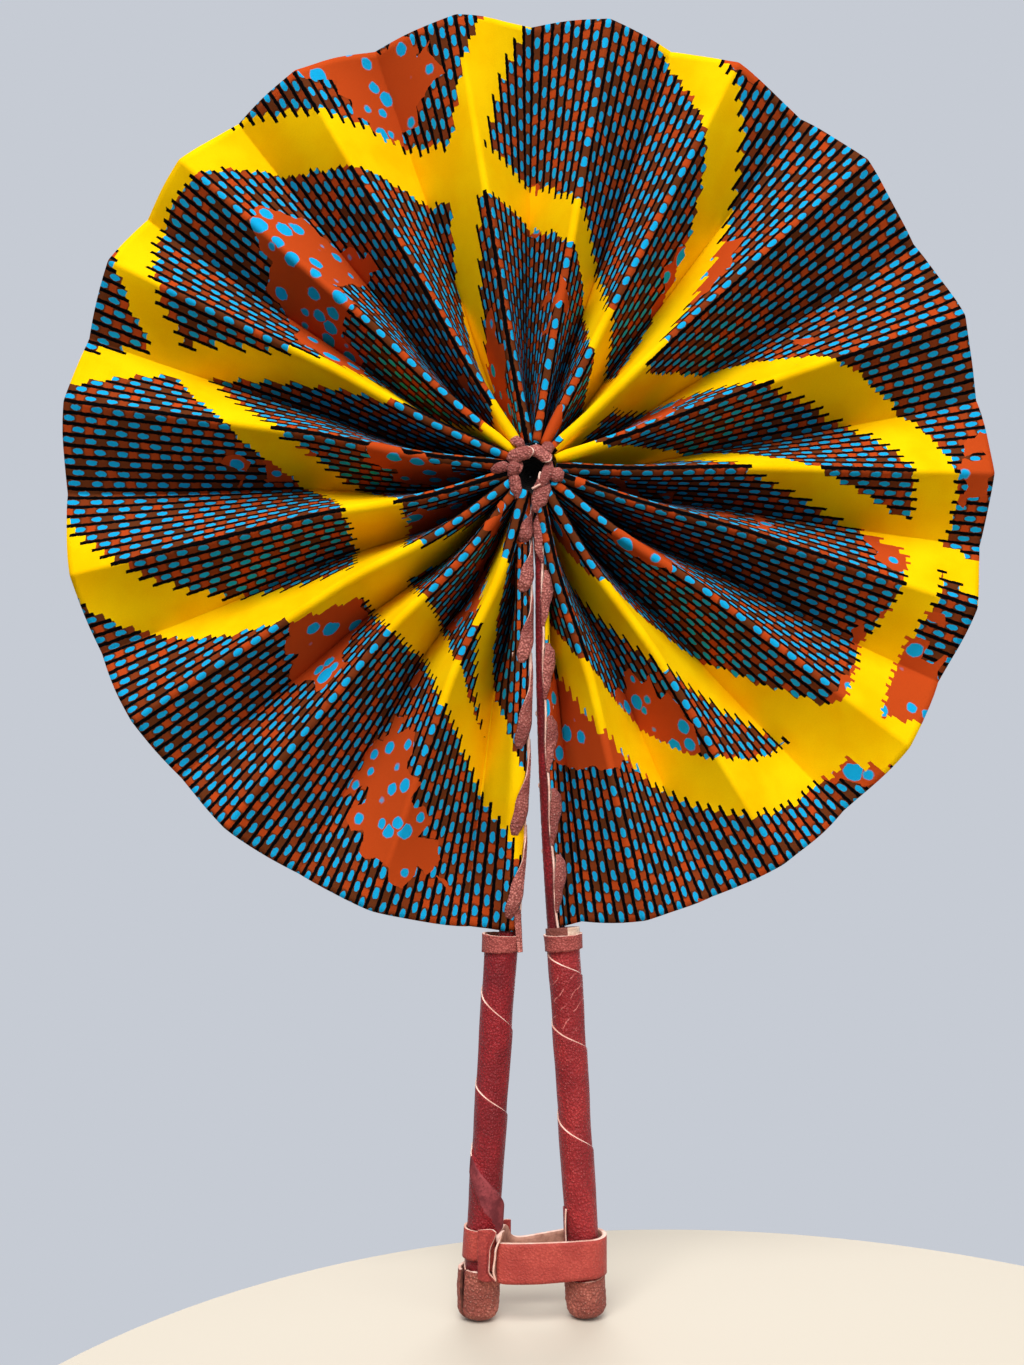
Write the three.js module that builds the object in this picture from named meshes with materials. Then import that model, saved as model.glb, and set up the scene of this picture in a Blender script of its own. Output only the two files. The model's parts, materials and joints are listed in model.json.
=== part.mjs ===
// A round folding fan: a pleated cloth leaf that opens through a full turn about a laced eye,
// laced at both ends to a leather-wrapped stick, with a leather strap that ties the two sticks.
// Millimetres, +Z up. The leaf lies in the XZ plane with its front to -Y, sticks down.
// The origin is the middle of the hand grip, halfway between the two handles.
import * as THREE from "three";

// Driving dimensions of the leaf.
const LEAF_RADIUS = 180;
const EYE_RADIUS = 9.5;
const PLEATS = 18;
const RIM_DEPTH = 12;
const CLOTH_THICKNESS = 0.6;
const FOLD_GAP = 0.3;
const RADIAL_STATIONS = 10;
const STATION_CROWDING = 1.6;
// Hand folding strays from an even pitch: two waves along the strip, in pleat widths.
const LONG_WANDER = 0.12;
const LONG_WANDER_WAVES = 1.5;
const SHORT_WANDER = 0.1;
const SHORT_WANDER_WAVES = 4.5;

// Driving dimensions of the two sticks, measured along the stick from the eye.
const SPLAY = THREE.MathUtils.degToRad(3.55);
const STICK_OFFSET = 0.6;
const STICK_TIP = 22;
const STICK_END = 321;
const WRAP_START = 26;
const SHANK_TIP_RADIUS = 2.05;
const SHANK_FOOT_RADIUS = 3.4;
const SHANK_WRAP_THICKNESS = 0.6;
// The slim shank is bowed: outside the grip's own line at its tip, inside it at the grip.
const SHANK_TIP_SET_OUT = 1.7;
const SHANK_FOOT_SET_IN = 2.2;
const SHANK_BOW = 1.8;
const SHANK_STATIONS = 8;
const GRIP_RADIUS = 6.2;
const GRIP_WRAP_THICKNESS = 1;
const GRIP_START_CLEARANCE = 1;
const GRIP_CENTRE = 248;
const FIT = 0.25;

// Driving dimensions of the leather trim.
const CUFF_HEIGHT = 7.5;
const CUFF_THICKNESS = 0.95;
const CUFF_SET_DOWN = 0.5;
const CAP_HEIGHT = 14.5;
const CAP_WALL = 1.15;
const CAP_FLOOR = 1.5;
const CAP_ROUNDING = 2.4;
const STRAP_HEIGHT = 15.4;
const STRAP_THICKNESS = 1.6;
const STRAP_FIT = 0.4;
const STRAP_RAMP = 8;
const KEEPER_LENGTH = 4;
const KEEPER_THICKNESS = 1.3;

// Driving dimensions of the lacing and the end panels of the leaf.
const HEM_THICKNESS = 0.5;
const HEM_OUTER_ANGLE = THREE.MathUtils.degToRad(65);
const LEFT_HEM_INNER_ANGLE = THREE.MathUtils.degToRad(-25);
const RIGHT_HEM_INNER_ANGLE = THREE.MathUtils.degToRad(5);
const HEM_SHORTFALL = 1;
const LACE_HALF_WIDTH = 1.9;
const LACE_HALF_THICKNESS = 0.4;
const LACE_START = 40;
const LACE_TURNS = 5;
const LACE_SHORTFALL = 4;
const LACE_STEPS_PER_TURN = 20;
const LACE_STANDOFF = 1.15;
const LACE_FORWARD_SHIFT = 0.45;
const LACE_OUTWARD_SHIFT = 0.55;
const END_VALLEY_AT_EYE = 3.4;
const LEFT_END_VALLEY_AT_RIM = 14;
const RIGHT_END_VALLEY_AT_RIM = 8;
const RING_WINDING_RADIUS = 2;
const RING_TURNS = 5;
const RING_HALF_ANGLE = THREE.MathUtils.degToRad(150);
const RING_FRONT_SETBACK = 2;
const GATHER_CORD_RADIUS = 0.8;
const GATHER_CORD_DEPTH = 8;
const GATHER_HALF_ANGLE = THREE.MathUtils.degToRad(140);
const SEAT_GAP = 0.3;
const TURNED_SIDES = 20;

// Places along the stick that follow from the sizes above.
const gripStart = LEAF_RADIUS + GRIP_START_CLEARANCE;
const gripWrapInner = GRIP_RADIUS - GRIP_WRAP_THICKNESS;
const gripCoreRadius = gripWrapInner - FIT;
const capInner = GRIP_RADIUS + FIT;
const capRadius = capInner + CAP_WALL;
const capTop = STICK_END - CAP_HEIGHT;
const coreEnd = STICK_END - CAP_FLOOR - SEAT_GAP;
const laceEnd = LEAF_RADIUS - LACE_SHORTFALL;
const frontDepth = RIM_DEPTH / 2;

// Outer radius of the leather-covered shank at a distance along the stick.
function shankRadius(along) {
  const share = (along - WRAP_START) / (gripStart - WRAP_START);
  return THREE.MathUtils.lerp(SHANK_TIP_RADIUS, SHANK_FOOT_RADIUS, share);
}

// Distance of the bowed shank's middle inside the grip's own line.
function shankSetIn(along) {
  const share = THREE.MathUtils.clamp((along - STICK_TIP) / (gripStart - STICK_TIP), 0, 1);
  const straight = THREE.MathUtils.lerp(-SHANK_TIP_SET_OUT, SHANK_FOOT_SET_IN, share);
  return straight + 4 * SHANK_BOW * share * (1 - share);
}

// Reach of the lacing outside the grip's own line.
function laceReach(along) {
  const reach = shankRadius(along) + LACE_STANDOFF + LACE_OUTWARD_SHIFT + LACE_HALF_THICKNESS;
  return reach - shankSetIn(along);
}

// Distance of the first or last valley fold from the grip's line, at a distance from the eye.
// side is -1 on the left stick and 1 on the right.
function endValley(side, radius) {
  const atRim = side < 0 ? LEFT_END_VALLEY_AT_RIM : RIGHT_END_VALLEY_AT_RIM;
  const share = (radius - EYE_RADIUS) / (LEAF_RADIUS - EYE_RADIUS);
  return THREE.MathUtils.lerp(END_VALLEY_AT_EYE, atRim, share);
}

function endOffset(side, radius) {
  return STICK_OFFSET * Math.cos(SPLAY) + endValley(side, radius);
}

// Angle from the top of the leaf to its first or last valley fold.
function edgeAngle(side, radius) {
  return side * (Math.PI - SPLAY - Math.asin(endOffset(side, radius) / radius));
}

// Fold lines along the strip, as shares of its length: valleys even, mountains odd.
function foldShares() {
  const mountains = [];
  for (let k = 0; k < PLEATS; k += 1) {
    const share = (k + 0.5) / PLEATS;
    const long = LONG_WANDER * Math.sin(2 * Math.PI * LONG_WANDER_WAVES * share);
    const short = SHORT_WANDER * Math.sin(2 * Math.PI * SHORT_WANDER_WAVES * share);
    mountains.push(share + (long + short) / PLEATS);
  }
  const shares = [0];
  for (let k = 0; k < PLEATS; k += 1) {
    shares.push(mountains[k]);
    const next = k + 1 < PLEATS ? (mountains[k] + mountains[k + 1]) / 2 : 1;
    shares.push(next);
  }
  return shares;
}

const folds = foldShares();

function foldAngle(fold, radius) {
  return THREE.MathUtils.lerp(edgeAngle(-1, radius), edgeAngle(1, radius), folds[fold]);
}

// Arc across one panel, between two neighbouring folds, at a radius.
function panelArc(panel, radius) {
  return radius * (foldAngle(panel + 1, radius) - foldAngle(panel, radius));
}

// Depth of one panel from front to back: the cloth keeps its width, so it deepens to the eye.
function panelDepth(panel, radius) {
  const width = Math.hypot(panelArc(panel, LEAF_RADIUS), RIM_DEPTH);
  return Math.sqrt(width ** 2 - panelArc(panel, radius) ** 2);
}

// How far back a valley fold lies. The crests stay level with the sticks, so the valleys deepen behind.
function valleyDepth(fold, radius) {
  const before = panelDepth(Math.max(fold - 1, 0), radius);
  const after = panelDepth(Math.min(fold, folds.length - 2), radius);
  return (before + after) / 2 - frontDepth;
}

function radialStations() {
  const stations = [];
  for (let j = 0; j <= RADIAL_STATIONS; j += 1) {
    const share = (j / RADIAL_STATIONS) ** STATION_CROWDING;
    stations.push(THREE.MathUtils.lerp(EYE_RADIUS, LEAF_RADIUS, share));
  }
  return stations;
}

// Turns the faces of a closed geometry outwards where they point in.
function facingOut(geometry) {
  const index = geometry.index.array;
  const at = geometry.attributes.position;
  const a = new THREE.Vector3();
  const b = new THREE.Vector3();
  const c = new THREE.Vector3();
  let volume = 0;
  for (let i = 0; i < index.length; i += 3) {
    a.fromBufferAttribute(at, index[i]);
    b.fromBufferAttribute(at, index[i + 1]);
    c.fromBufferAttribute(at, index[i + 2]);
    volume += a.dot(b.cross(c));
  }
  if (volume < 0) {
    for (let i = 0; i < index.length; i += 3) {
      const kept = index[i];
      index[i] = index[i + 1];
      index[i + 1] = kept;
    }
  }
  return geometry;
}

// Triangles that close one end of a loft, turned the way that the outline runs.
function endFaces(outline, start, atStart) {
  const reversed = (THREE.ShapeUtils.area(outline) < 0) !== atStart;
  const index = [];
  for (const face of THREE.ShapeUtils.triangulateShape(outline, [])) {
    const corners = reversed ? [face[2], face[1], face[0]] : face;
    index.push(...corners.map((corner) => start + corner));
  }
  return index;
}

// Two triangles of a twisted quad, split from the front of its near side to the back of its far side,
// so that both faces of a thin wall twist alike.
function quadFaces(rising, a, b, c, d) {
  return rising ? [a, b, c, a, c, d] : [a, b, d, b, c, d];
}

// A closed solid through a row of like outlines. Each station has its flat outline and its points.
// A looped row joins its last station to its first.
function lofted(stations, looped = false) {
  const count = stations[0].points.length;
  const positions = [];
  const index = [];
  for (const station of stations) {
    for (const point of station.points) positions.push(point.x, point.y, point.z);
  }
  const rows = looped ? stations.length : stations.length - 1;
  for (let j = 0; j < rows; j += 1) {
    const near = j * count;
    const far = ((j + 1) % stations.length) * count;
    for (let i = 0; i < count; i += 1) {
      const beside = (i + 1) % count;
      const rising = stations[j].outline[i].y <= stations[j].outline[beside].y;
      index.push(...quadFaces(rising, near + i, near + beside, far + beside, far + i));
    }
  }
  if (!looped) {
    const last = (stations.length - 1) * count;
    index.push(...endFaces(stations[0].outline, 0, true));
    index.push(...endFaces(stations[stations.length - 1].outline, last, false));
  }
  const geometry = new THREE.BufferGeometry();
  geometry.setAttribute("position", new THREE.Float32BufferAttribute(positions, 3));
  geometry.setIndex(index);
  return facingOut(geometry);
}

// Where two lines in the plane cross, each given by a point and a direction.
function crossing(p, u, q, v) {
  const between = q.clone().sub(p);
  const along = between.cross(v) / u.cross(v);
  return p.clone().addScaledVector(u, along);
}

// Outline of one pleat across the leaf: a V with its crest to the front and its two valleys behind.
function pleatOutline(mountain, radius) {
  const half = CLOTH_THICKNESS / 2;
  const inset = half + FOLD_GAP / 2;
  const crest = new THREE.Vector2(0, -frontDepth);
  const right = new THREE.Vector2(
    panelArc(mountain, radius) - inset,
    valleyDepth(mountain + 1, radius),
  );
  const left = new THREE.Vector2(
    inset - panelArc(mountain - 1, radius),
    valleyDepth(mountain - 1, radius),
  );
  const toRight = right.clone().sub(crest).normalize();
  const toLeft = left.clone().sub(crest).normalize();
  const outRight = new THREE.Vector2(toRight.y, -toRight.x);
  const outLeft = new THREE.Vector2(-toLeft.y, toLeft.x);
  const inner = crossing(
    crest.clone().addScaledVector(outRight, -half),
    toRight,
    crest.clone().addScaledVector(outLeft, -half),
    toLeft,
  );
  return [
    crest.clone().add(new THREE.Vector2(0, -half)),
    right.clone().addScaledVector(outRight, half),
    right.clone().addScaledVector(outRight, -half),
    inner,
    left.clone().addScaledVector(outLeft, -half),
    left.clone().addScaledVector(outLeft, half),
  ];
}

function pleatGeometry(number) {
  const mountain = 2 * number - 1;
  const stations = radialStations().map((radius) => {
    const outline = pleatOutline(mountain, radius);
    const points = outline.map((flat) => {
      const angle = foldAngle(mountain, radius) + flat.x / radius;
      return new THREE.Vector3(radius * Math.sin(angle), flat.y, radius * Math.cos(angle));
    });
    return { outline, points };
  });
  return lofted(stations);
}

// Distance of the end panel's front edge from the grip's line: beside the lacing, and above the
// lacing on a straight way to the valley fold at the eye.
function panelFront(along) {
  const beside = laceReach(Math.max(along, LACE_START)) + SEAT_GAP + CLOTH_THICKNESS / 2;
  const share = THREE.MathUtils.clamp((along - EYE_RADIUS) / (LACE_START - EYE_RADIUS), 0, 1);
  return THREE.MathUtils.lerp(END_VALLEY_AT_EYE - CLOTH_THICKNESS / 2, beside, share);
}

// The cloth between the first or last valley fold and the lacing, in the stick's own frame.
function endPanelGeometry(side) {
  const half = CLOTH_THICKNESS / 2;
  const fold = side < 0 ? 0 : folds.length - 1;
  const stations = radialStations().map((radius) => {
    const offset = endOffset(side, radius);
    const along = Math.sqrt(radius ** 2 - offset ** 2) - STICK_OFFSET * Math.sin(SPLAY);
    const valley = new THREE.Vector2(
      endValley(side, radius) - half - FOLD_GAP / 2,
      valleyDepth(fold, radius),
    );
    const front = new THREE.Vector2(
      panelFront(along),
      -shankRadius(along) - FIT - HEM_THICKNESS,
    );
    const across = front.clone().sub(valley).normalize();
    const normal = new THREE.Vector2(-across.y, across.x);
    const outline = [
      valley.clone().addScaledVector(normal, half),
      front.clone().addScaledVector(normal, half),
      front.clone().addScaledVector(normal, -half),
      valley.clone().addScaledVector(normal, -half),
    ];
    const points = outline.map((flat) => new THREE.Vector3(side * flat.x, flat.y, -along));
    return { outline, points };
  });
  return lofted(stations);
}

// Places at even steps along the shank.
function shankPlaces(start, end) {
  const places = [];
  for (let i = 0; i <= SHANK_STATIONS; i += 1) {
    places.push(THREE.MathUtils.lerp(start, end, i / SHANK_STATIONS));
  }
  return places;
}

// The turned end of the cloth, folded over the front of the shank under the lacing.
function hemGeometry(side) {
  const steps = 6;
  const innerAngle = side < 0 ? LEFT_HEM_INNER_ANGLE : RIGHT_HEM_INNER_ANGLE;
  const stations = shankPlaces(WRAP_START, LEAF_RADIUS - HEM_SHORTFALL).map((along) => {
    const inner = shankRadius(along) + FIT;
    const outer = inner + HEM_THICKNESS;
    const outline = [];
    for (let i = 0; i <= steps; i += 1) {
      const angle = THREE.MathUtils.lerp(innerAngle, HEM_OUTER_ANGLE, i / steps);
      outline.push(new THREE.Vector2(outer * Math.sin(angle), -outer * Math.cos(angle)));
    }
    for (let i = steps; i >= 0; i -= 1) {
      const angle = THREE.MathUtils.lerp(innerAngle, HEM_OUTER_ANGLE, i / steps);
      outline.push(new THREE.Vector2(inner * Math.sin(angle), -inner * Math.cos(angle)));
    }
    const middle = shankSetIn(along);
    const points = outline.map((flat) => new THREE.Vector3(side * (flat.x - middle), flat.y, -along));
    return { outline, points };
  });
  return lofted(stations);
}

// One round station of a piece that follows the stick, its middle set in from the grip's line.
function roundStation(side, along, radius, setIn) {
  const outline = [];
  for (let i = 0; i < TURNED_SIDES; i += 1) {
    const angle = (2 * Math.PI * i) / TURNED_SIDES;
    outline.push(new THREE.Vector2(radius * Math.cos(angle), radius * Math.sin(angle)));
  }
  const points = outline.map((flat) => new THREE.Vector3(flat.x - side * setIn, flat.y, -along));
  return { outline, points };
}

function stickGeometry(side) {
  const wall = SHANK_WRAP_THICKNESS + FIT;
  const stations = shankPlaces(STICK_TIP, gripStart).map((along) => {
    return roundStation(side, along, shankRadius(along) - wall, shankSetIn(along));
  });
  stations.push(roundStation(side, gripStart, gripCoreRadius, 0));
  stations.push(roundStation(side, coreEnd, gripCoreRadius, 0));
  return lofted(stations);
}

function shankWrapGeometry(side) {
  const places = shankPlaces(WRAP_START, gripStart - SEAT_GAP);
  const outside = places.map((along) => {
    return roundStation(side, along, shankRadius(along), shankSetIn(along));
  });
  const inside = places.map((along) => {
    return roundStation(side, along, shankRadius(along) - SHANK_WRAP_THICKNESS, shankSetIn(along));
  });
  return lofted([...outside, ...inside.reverse()], true);
}

// A round piece about the stick's axis, from rows of radius and distance along the stick.
function turned(profile) {
  const points = profile.map(([radius, along]) => new THREE.Vector2(radius, -along));
  const geometry = new THREE.LatheGeometry(points, TURNED_SIDES);
  geometry.rotateX(Math.PI / 2);
  return facingOut(geometry);
}

function gripWrapGeometry() {
  return turned([
    [GRIP_RADIUS, gripStart],
    [GRIP_RADIUS, coreEnd],
    [gripWrapInner, coreEnd],
    [gripWrapInner, gripStart],
    [GRIP_RADIUS, gripStart],
  ]);
}

function cuffGeometry() {
  const inner = GRIP_RADIUS + FIT;
  const top = gripStart + CUFF_SET_DOWN;
  const bottom = top + CUFF_HEIGHT;
  return turned([
    [inner + CUFF_THICKNESS, top],
    [inner + CUFF_THICKNESS, bottom],
    [inner, bottom],
    [inner, top],
    [inner + CUFF_THICKNESS, top],
  ]);
}

// A leather cup with a rounded bottom edge and a flat foot.
function endCapGeometry() {
  const steps = 4;
  const profile = [[0, STICK_END]];
  for (let i = 0; i <= steps; i += 1) {
    const angle = (i / steps) * (Math.PI / 2);
    profile.push([
      capRadius - CAP_ROUNDING + CAP_ROUNDING * Math.sin(angle),
      STICK_END - CAP_ROUNDING + CAP_ROUNDING * Math.cos(angle),
    ]);
  }
  profile.push([capRadius, capTop]);
  profile.push([capInner, capTop]);
  profile.push([capInner, STICK_END - CAP_FLOOR]);
  profile.push([0, STICK_END - CAP_FLOOR]);
  return turned(profile);
}

// Six-sided section of a flat leather lace, square to its path and flat to what it lies on.
function laceSection(path, i, outwards) {
  const before = path[Math.max(i - 1, 0)];
  const after = path[Math.min(i + 1, path.length - 1)];
  const forward = after.clone().sub(before).normalize();
  const across = forward.clone().cross(outwards[i]).normalize();
  const up = across.clone().cross(forward).normalize();
  const outline = [];
  const points = [];
  const sides = 6;
  for (let side = 0; side < sides; side += 1) {
    const angle = (2 * Math.PI * side) / sides;
    const flat = new THREE.Vector2(
      LACE_HALF_WIDTH * Math.cos(angle),
      LACE_HALF_THICKNESS * Math.sin(angle),
    );
    outline.push(flat);
    points.push(path[i].clone().addScaledVector(across, flat.x).addScaledVector(up, flat.y));
  }
  return { outline, points };
}

// Least clear distance between one turn of a lace and the next, measured on its path.
function leastGap(path, stepsPerTurn) {
  let least = Infinity;
  for (let i = 0; i < path.length; i += 1) {
    for (let j = i + Math.ceil(stepsPerTurn / 2); j < path.length; j += 1) {
      least = Math.min(least, path[i].distanceTo(path[j]));
    }
  }
  return least - 2 * LACE_HALF_WIDTH;
}

function laceGeometry(name, path, outwards, stepsPerTurn) {
  console.log(`${name}: least gap to itself ${leastGap(path, stepsPerTurn).toFixed(2)} mm`);
  return lofted(path.map((point, i) => laceSection(path, i, outwards)));
}

// Whip lacing down one stick, over the hem at the front and close to the shank behind.
// It winds the same way on both sticks.
function stickLaceGeometry(name, side) {
  const path = [];
  const outwards = [];
  const steps = LACE_TURNS * LACE_STEPS_PER_TURN;
  for (let i = 0; i <= steps; i += 1) {
    const along = THREE.MathUtils.lerp(LACE_START, laceEnd, i / steps);
    const turn = (2 * Math.PI * i) / LACE_STEPS_PER_TURN + Math.PI;
    const reach = shankRadius(along) + LACE_STANDOFF;
    const outward = new THREE.Vector3(-Math.sin(turn), -Math.cos(turn), 0);
    outwards.push(outward);
    const middle = side * (LACE_OUTWARD_SHIFT - shankSetIn(along));
    const centre = new THREE.Vector3(middle, -LACE_FORWARD_SHIFT, -along);
    path.push(centre.addScaledVector(outward, reach));
  }
  return laceGeometry(name, path, outwards, LACE_STEPS_PER_TURN);
}

// The lacing that is whipped round the eye at the front of the leaf.
const ringRadius = EYE_RADIUS - SEAT_GAP - LACE_HALF_THICKNESS - RING_WINDING_RADIUS;

function hubLaceGeometry(name) {
  const path = [];
  const outwards = [];
  const depth = RING_FRONT_SETBACK - frontDepth;
  const steps = RING_TURNS * LACE_STEPS_PER_TURN;
  for (let i = 0; i <= steps; i += 1) {
    const bearing = THREE.MathUtils.lerp(-RING_HALF_ANGLE, RING_HALF_ANGLE, i / steps);
    const turn = (2 * Math.PI * i) / LACE_STEPS_PER_TURN;
    const radial = new THREE.Vector3(Math.sin(bearing), 0, Math.cos(bearing));
    const outward = radial.clone().multiplyScalar(Math.cos(turn));
    outward.y = -Math.sin(turn);
    outwards.push(outward);
    const centre = radial.multiplyScalar(ringRadius).add(new THREE.Vector3(0, depth, 0));
    path.push(centre.addScaledVector(outward, RING_WINDING_RADIUS));
  }
  return laceGeometry(name, path, outwards, LACE_STEPS_PER_TURN);
}

// The cord that draws the inner ends of the pleats together, behind the laced ring.
function gatherCordGeometry() {
  const radius = EYE_RADIUS - SEAT_GAP - GATHER_CORD_RADIUS;
  const section = new THREE.Shape().absarc(0, 0, GATHER_CORD_RADIUS, 0, 2 * Math.PI);
  const points = [];
  const steps = 24;
  for (let i = 0; i <= steps; i += 1) {
    const bearing = THREE.MathUtils.lerp(-GATHER_HALF_ANGLE, GATHER_HALF_ANGLE, i / steps);
    points.push(new THREE.Vector3(
      radius * Math.sin(bearing),
      GATHER_CORD_DEPTH,
      radius * Math.cos(bearing),
    ));
  }
  const extrudePath = new THREE.CatmullRomCurve3(points);
  return new THREE.ExtrudeGeometry(section, { steps, curveSegments: 4, extrudePath });
}

// Places of the strap: it lies just above the end caps and holds both handles side by side.
const capTilt = capRadius * Math.sin(SPLAY);
const strapBottom = -capTop * Math.cos(SPLAY) + capTilt + SEAT_GAP;
const strapMiddle = strapBottom + STRAP_HEIGHT / 2;
const handleReach = STICK_OFFSET - strapMiddle * Math.tan(SPLAY);
const strapLean = (STRAP_HEIGHT / 2) * Math.tan(SPLAY);
const strapBore = GRIP_RADIUS + STRAP_FIT + strapLean;
const keeperStart = -handleReach + strapBore + STRAP_THICKNESS + SEAT_GAP;
const keeperEnd = keeperStart + KEEPER_LENGTH;

// Outline of the strap from above: a close loop on the left handle, pinched, then a wide loop.
function strapShape() {
  const outer = strapBore + STRAP_THICKNESS;
  const open = Math.PI / 4;
  const shape = new THREE.Shape();
  shape.absarc(-handleReach, 0, outer, open, 2 * Math.PI - open, false);
  shape.lineTo(keeperStart, -STRAP_THICKNESS);
  shape.lineTo(keeperEnd, -STRAP_THICKNESS);
  shape.lineTo(keeperEnd + STRAP_RAMP, -outer);
  shape.absarc(handleReach, 0, outer, -Math.PI / 2, Math.PI / 2, false);
  shape.lineTo(keeperEnd + STRAP_RAMP, outer);
  shape.lineTo(keeperEnd, STRAP_THICKNESS);
  shape.lineTo(keeperStart, STRAP_THICKNESS);
  shape.closePath();
  const closeLoop = new THREE.Path();
  closeLoop.absarc(-handleReach, 0, strapBore, 0, 2 * Math.PI, false);
  const wideLoop = new THREE.Path();
  wideLoop.moveTo(keeperEnd, 0);
  wideLoop.lineTo(keeperEnd + STRAP_RAMP, -strapBore);
  wideLoop.absarc(handleReach, 0, strapBore, -Math.PI / 2, Math.PI / 2, false);
  wideLoop.lineTo(keeperEnd + STRAP_RAMP, strapBore);
  wideLoop.closePath();
  shape.holes.push(closeLoop, wideLoop);
  return shape;
}

function strapGeometry() {
  const options = { depth: STRAP_HEIGHT, bevelEnabled: false, curveSegments: 10 };
  const geometry = new THREE.ExtrudeGeometry(strapShape(), options);
  geometry.translate(0, 0, strapBottom);
  return geometry;
}

// The slit tab that the strap is pulled through, standing round the pinched stretch.
function keeperGeometry() {
  const halfWide = STRAP_THICKNESS + SEAT_GAP;
  const halfHigh = STRAP_HEIGHT / 2 + SEAT_GAP;
  const frame = (wide, high) => [
    new THREE.Vector2(-wide, -high),
    new THREE.Vector2(wide, -high),
    new THREE.Vector2(wide, high),
    new THREE.Vector2(-wide, high),
  ];
  const shape = new THREE.Shape(frame(halfWide + KEEPER_THICKNESS, halfHigh + KEEPER_THICKNESS));
  shape.holes.push(new THREE.Path(frame(halfWide, halfHigh)));
  const options = { depth: KEEPER_LENGTH - 2 * SEAT_GAP, bevelEnabled: false };
  const geometry = new THREE.ExtrudeGeometry(shape, options);
  // The frame is drawn in Y and Z and stands along the strap, in X.
  geometry.applyMatrix4(new THREE.Matrix4().makeBasis(
    new THREE.Vector3(0, 1, 0),
    new THREE.Vector3(0, 0, 1),
    new THREE.Vector3(1, 0, 0),
  ));
  geometry.translate(keeperStart + SEAT_GAP, 0, strapMiddle);
  return geometry;
}

const FINISHES = {
  cloth: { color: 0x8a3f1e, roughness: 0.85, metalness: 0 },
  gripLeather: { color: 0x9c2f2a, roughness: 0.55, metalness: 0 },
  shankLeather: { color: 0x6b1a1c, roughness: 0.6, metalness: 0 },
  trimLeather: { color: 0xb0604a, roughness: 0.7, metalness: 0 },
  laceLeather: { color: 0x8f4a40, roughness: 0.65, metalness: 0 },
  wood: { color: 0xb98d5c, roughness: 0.75, metalness: 0 },
  thread: { color: 0x3a2a24, roughness: 0.9, metalness: 0 },
};

function piece(name, geometry, finish) {
  const mesh = new THREE.Mesh(geometry, new THREE.MeshStandardMaterial(FINISHES[finish]));
  mesh.name = name;
  return mesh;
}

// One stick with its leather, lacing and end of the leaf, in a group leaning along the stick.
function handle(name, side) {
  const group = new THREE.Group();
  group.position.set(side * STICK_OFFSET, 0, 0);
  group.rotation.y = -side * SPLAY;
  group.add(piece(`${name}_stick`, stickGeometry(side), "wood"));
  group.add(piece(`${name}_shank_wrap`, shankWrapGeometry(side), "shankLeather"));
  group.add(piece(`${name}_grip_wrap`, gripWrapGeometry(), "gripLeather"));
  group.add(piece(`${name}_cuff`, cuffGeometry(), "trimLeather"));
  group.add(piece(`${name}_end_cap`, endCapGeometry(), "trimLeather"));
  group.add(piece(`${name}_hem`, hemGeometry(side), "cloth"));
  group.add(piece(`${name}_end_panel`, endPanelGeometry(side), "cloth"));
  group.add(piece(`${name}_lace`, stickLaceGeometry(`${name}_lace`, side), "laceLeather"));
  return group;
}

function leaf() {
  const group = new THREE.Group();
  for (let number = 1; number <= PLEATS; number += 1) {
    const name = `pleat_${String(number).padStart(2, "0")}`;
    group.add(piece(name, pleatGeometry(number), "cloth"));
  }
  return group;
}

const fan = new THREE.Group();
fan.add(handle("left", -1), handle("right", 1), leaf());
fan.add(piece("hub_lace", hubLaceGeometry("hub_lace"), "laceLeather"));
fan.add(piece("gather_cord", gatherCordGeometry(), "thread"));
fan.add(piece("strap", strapGeometry(), "trimLeather"));
fan.add(piece("strap_keeper", keeperGeometry(), "trimLeather"));
fan.position.z = GRIP_CENTRE * Math.cos(SPLAY);

export default fan;
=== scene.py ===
import json
from math import asin, cos, dist, exp, hypot, pi, radians, sin, sqrt, tan

import bmesh
import bpy
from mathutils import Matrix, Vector, noise


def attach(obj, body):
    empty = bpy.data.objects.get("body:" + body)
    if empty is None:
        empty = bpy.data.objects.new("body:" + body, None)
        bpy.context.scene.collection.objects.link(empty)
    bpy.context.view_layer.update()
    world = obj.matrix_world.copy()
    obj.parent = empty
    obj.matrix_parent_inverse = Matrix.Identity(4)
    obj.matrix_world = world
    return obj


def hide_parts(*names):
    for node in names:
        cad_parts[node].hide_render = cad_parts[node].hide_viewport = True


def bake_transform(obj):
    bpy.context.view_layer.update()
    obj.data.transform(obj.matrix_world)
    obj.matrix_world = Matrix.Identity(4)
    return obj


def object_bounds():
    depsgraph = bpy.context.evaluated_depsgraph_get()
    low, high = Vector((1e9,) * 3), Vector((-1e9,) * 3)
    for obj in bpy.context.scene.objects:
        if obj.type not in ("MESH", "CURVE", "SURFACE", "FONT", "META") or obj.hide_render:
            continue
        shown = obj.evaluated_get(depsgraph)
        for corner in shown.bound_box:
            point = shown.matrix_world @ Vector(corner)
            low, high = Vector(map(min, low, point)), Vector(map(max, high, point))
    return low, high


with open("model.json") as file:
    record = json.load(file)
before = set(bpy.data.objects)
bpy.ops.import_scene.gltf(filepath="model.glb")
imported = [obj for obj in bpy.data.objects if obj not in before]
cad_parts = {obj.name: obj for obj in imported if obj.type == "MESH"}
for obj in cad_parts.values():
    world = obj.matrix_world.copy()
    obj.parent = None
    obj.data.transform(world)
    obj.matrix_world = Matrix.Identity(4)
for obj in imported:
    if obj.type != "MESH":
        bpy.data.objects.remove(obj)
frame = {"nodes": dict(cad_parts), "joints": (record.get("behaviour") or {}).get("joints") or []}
cad_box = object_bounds()

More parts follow.
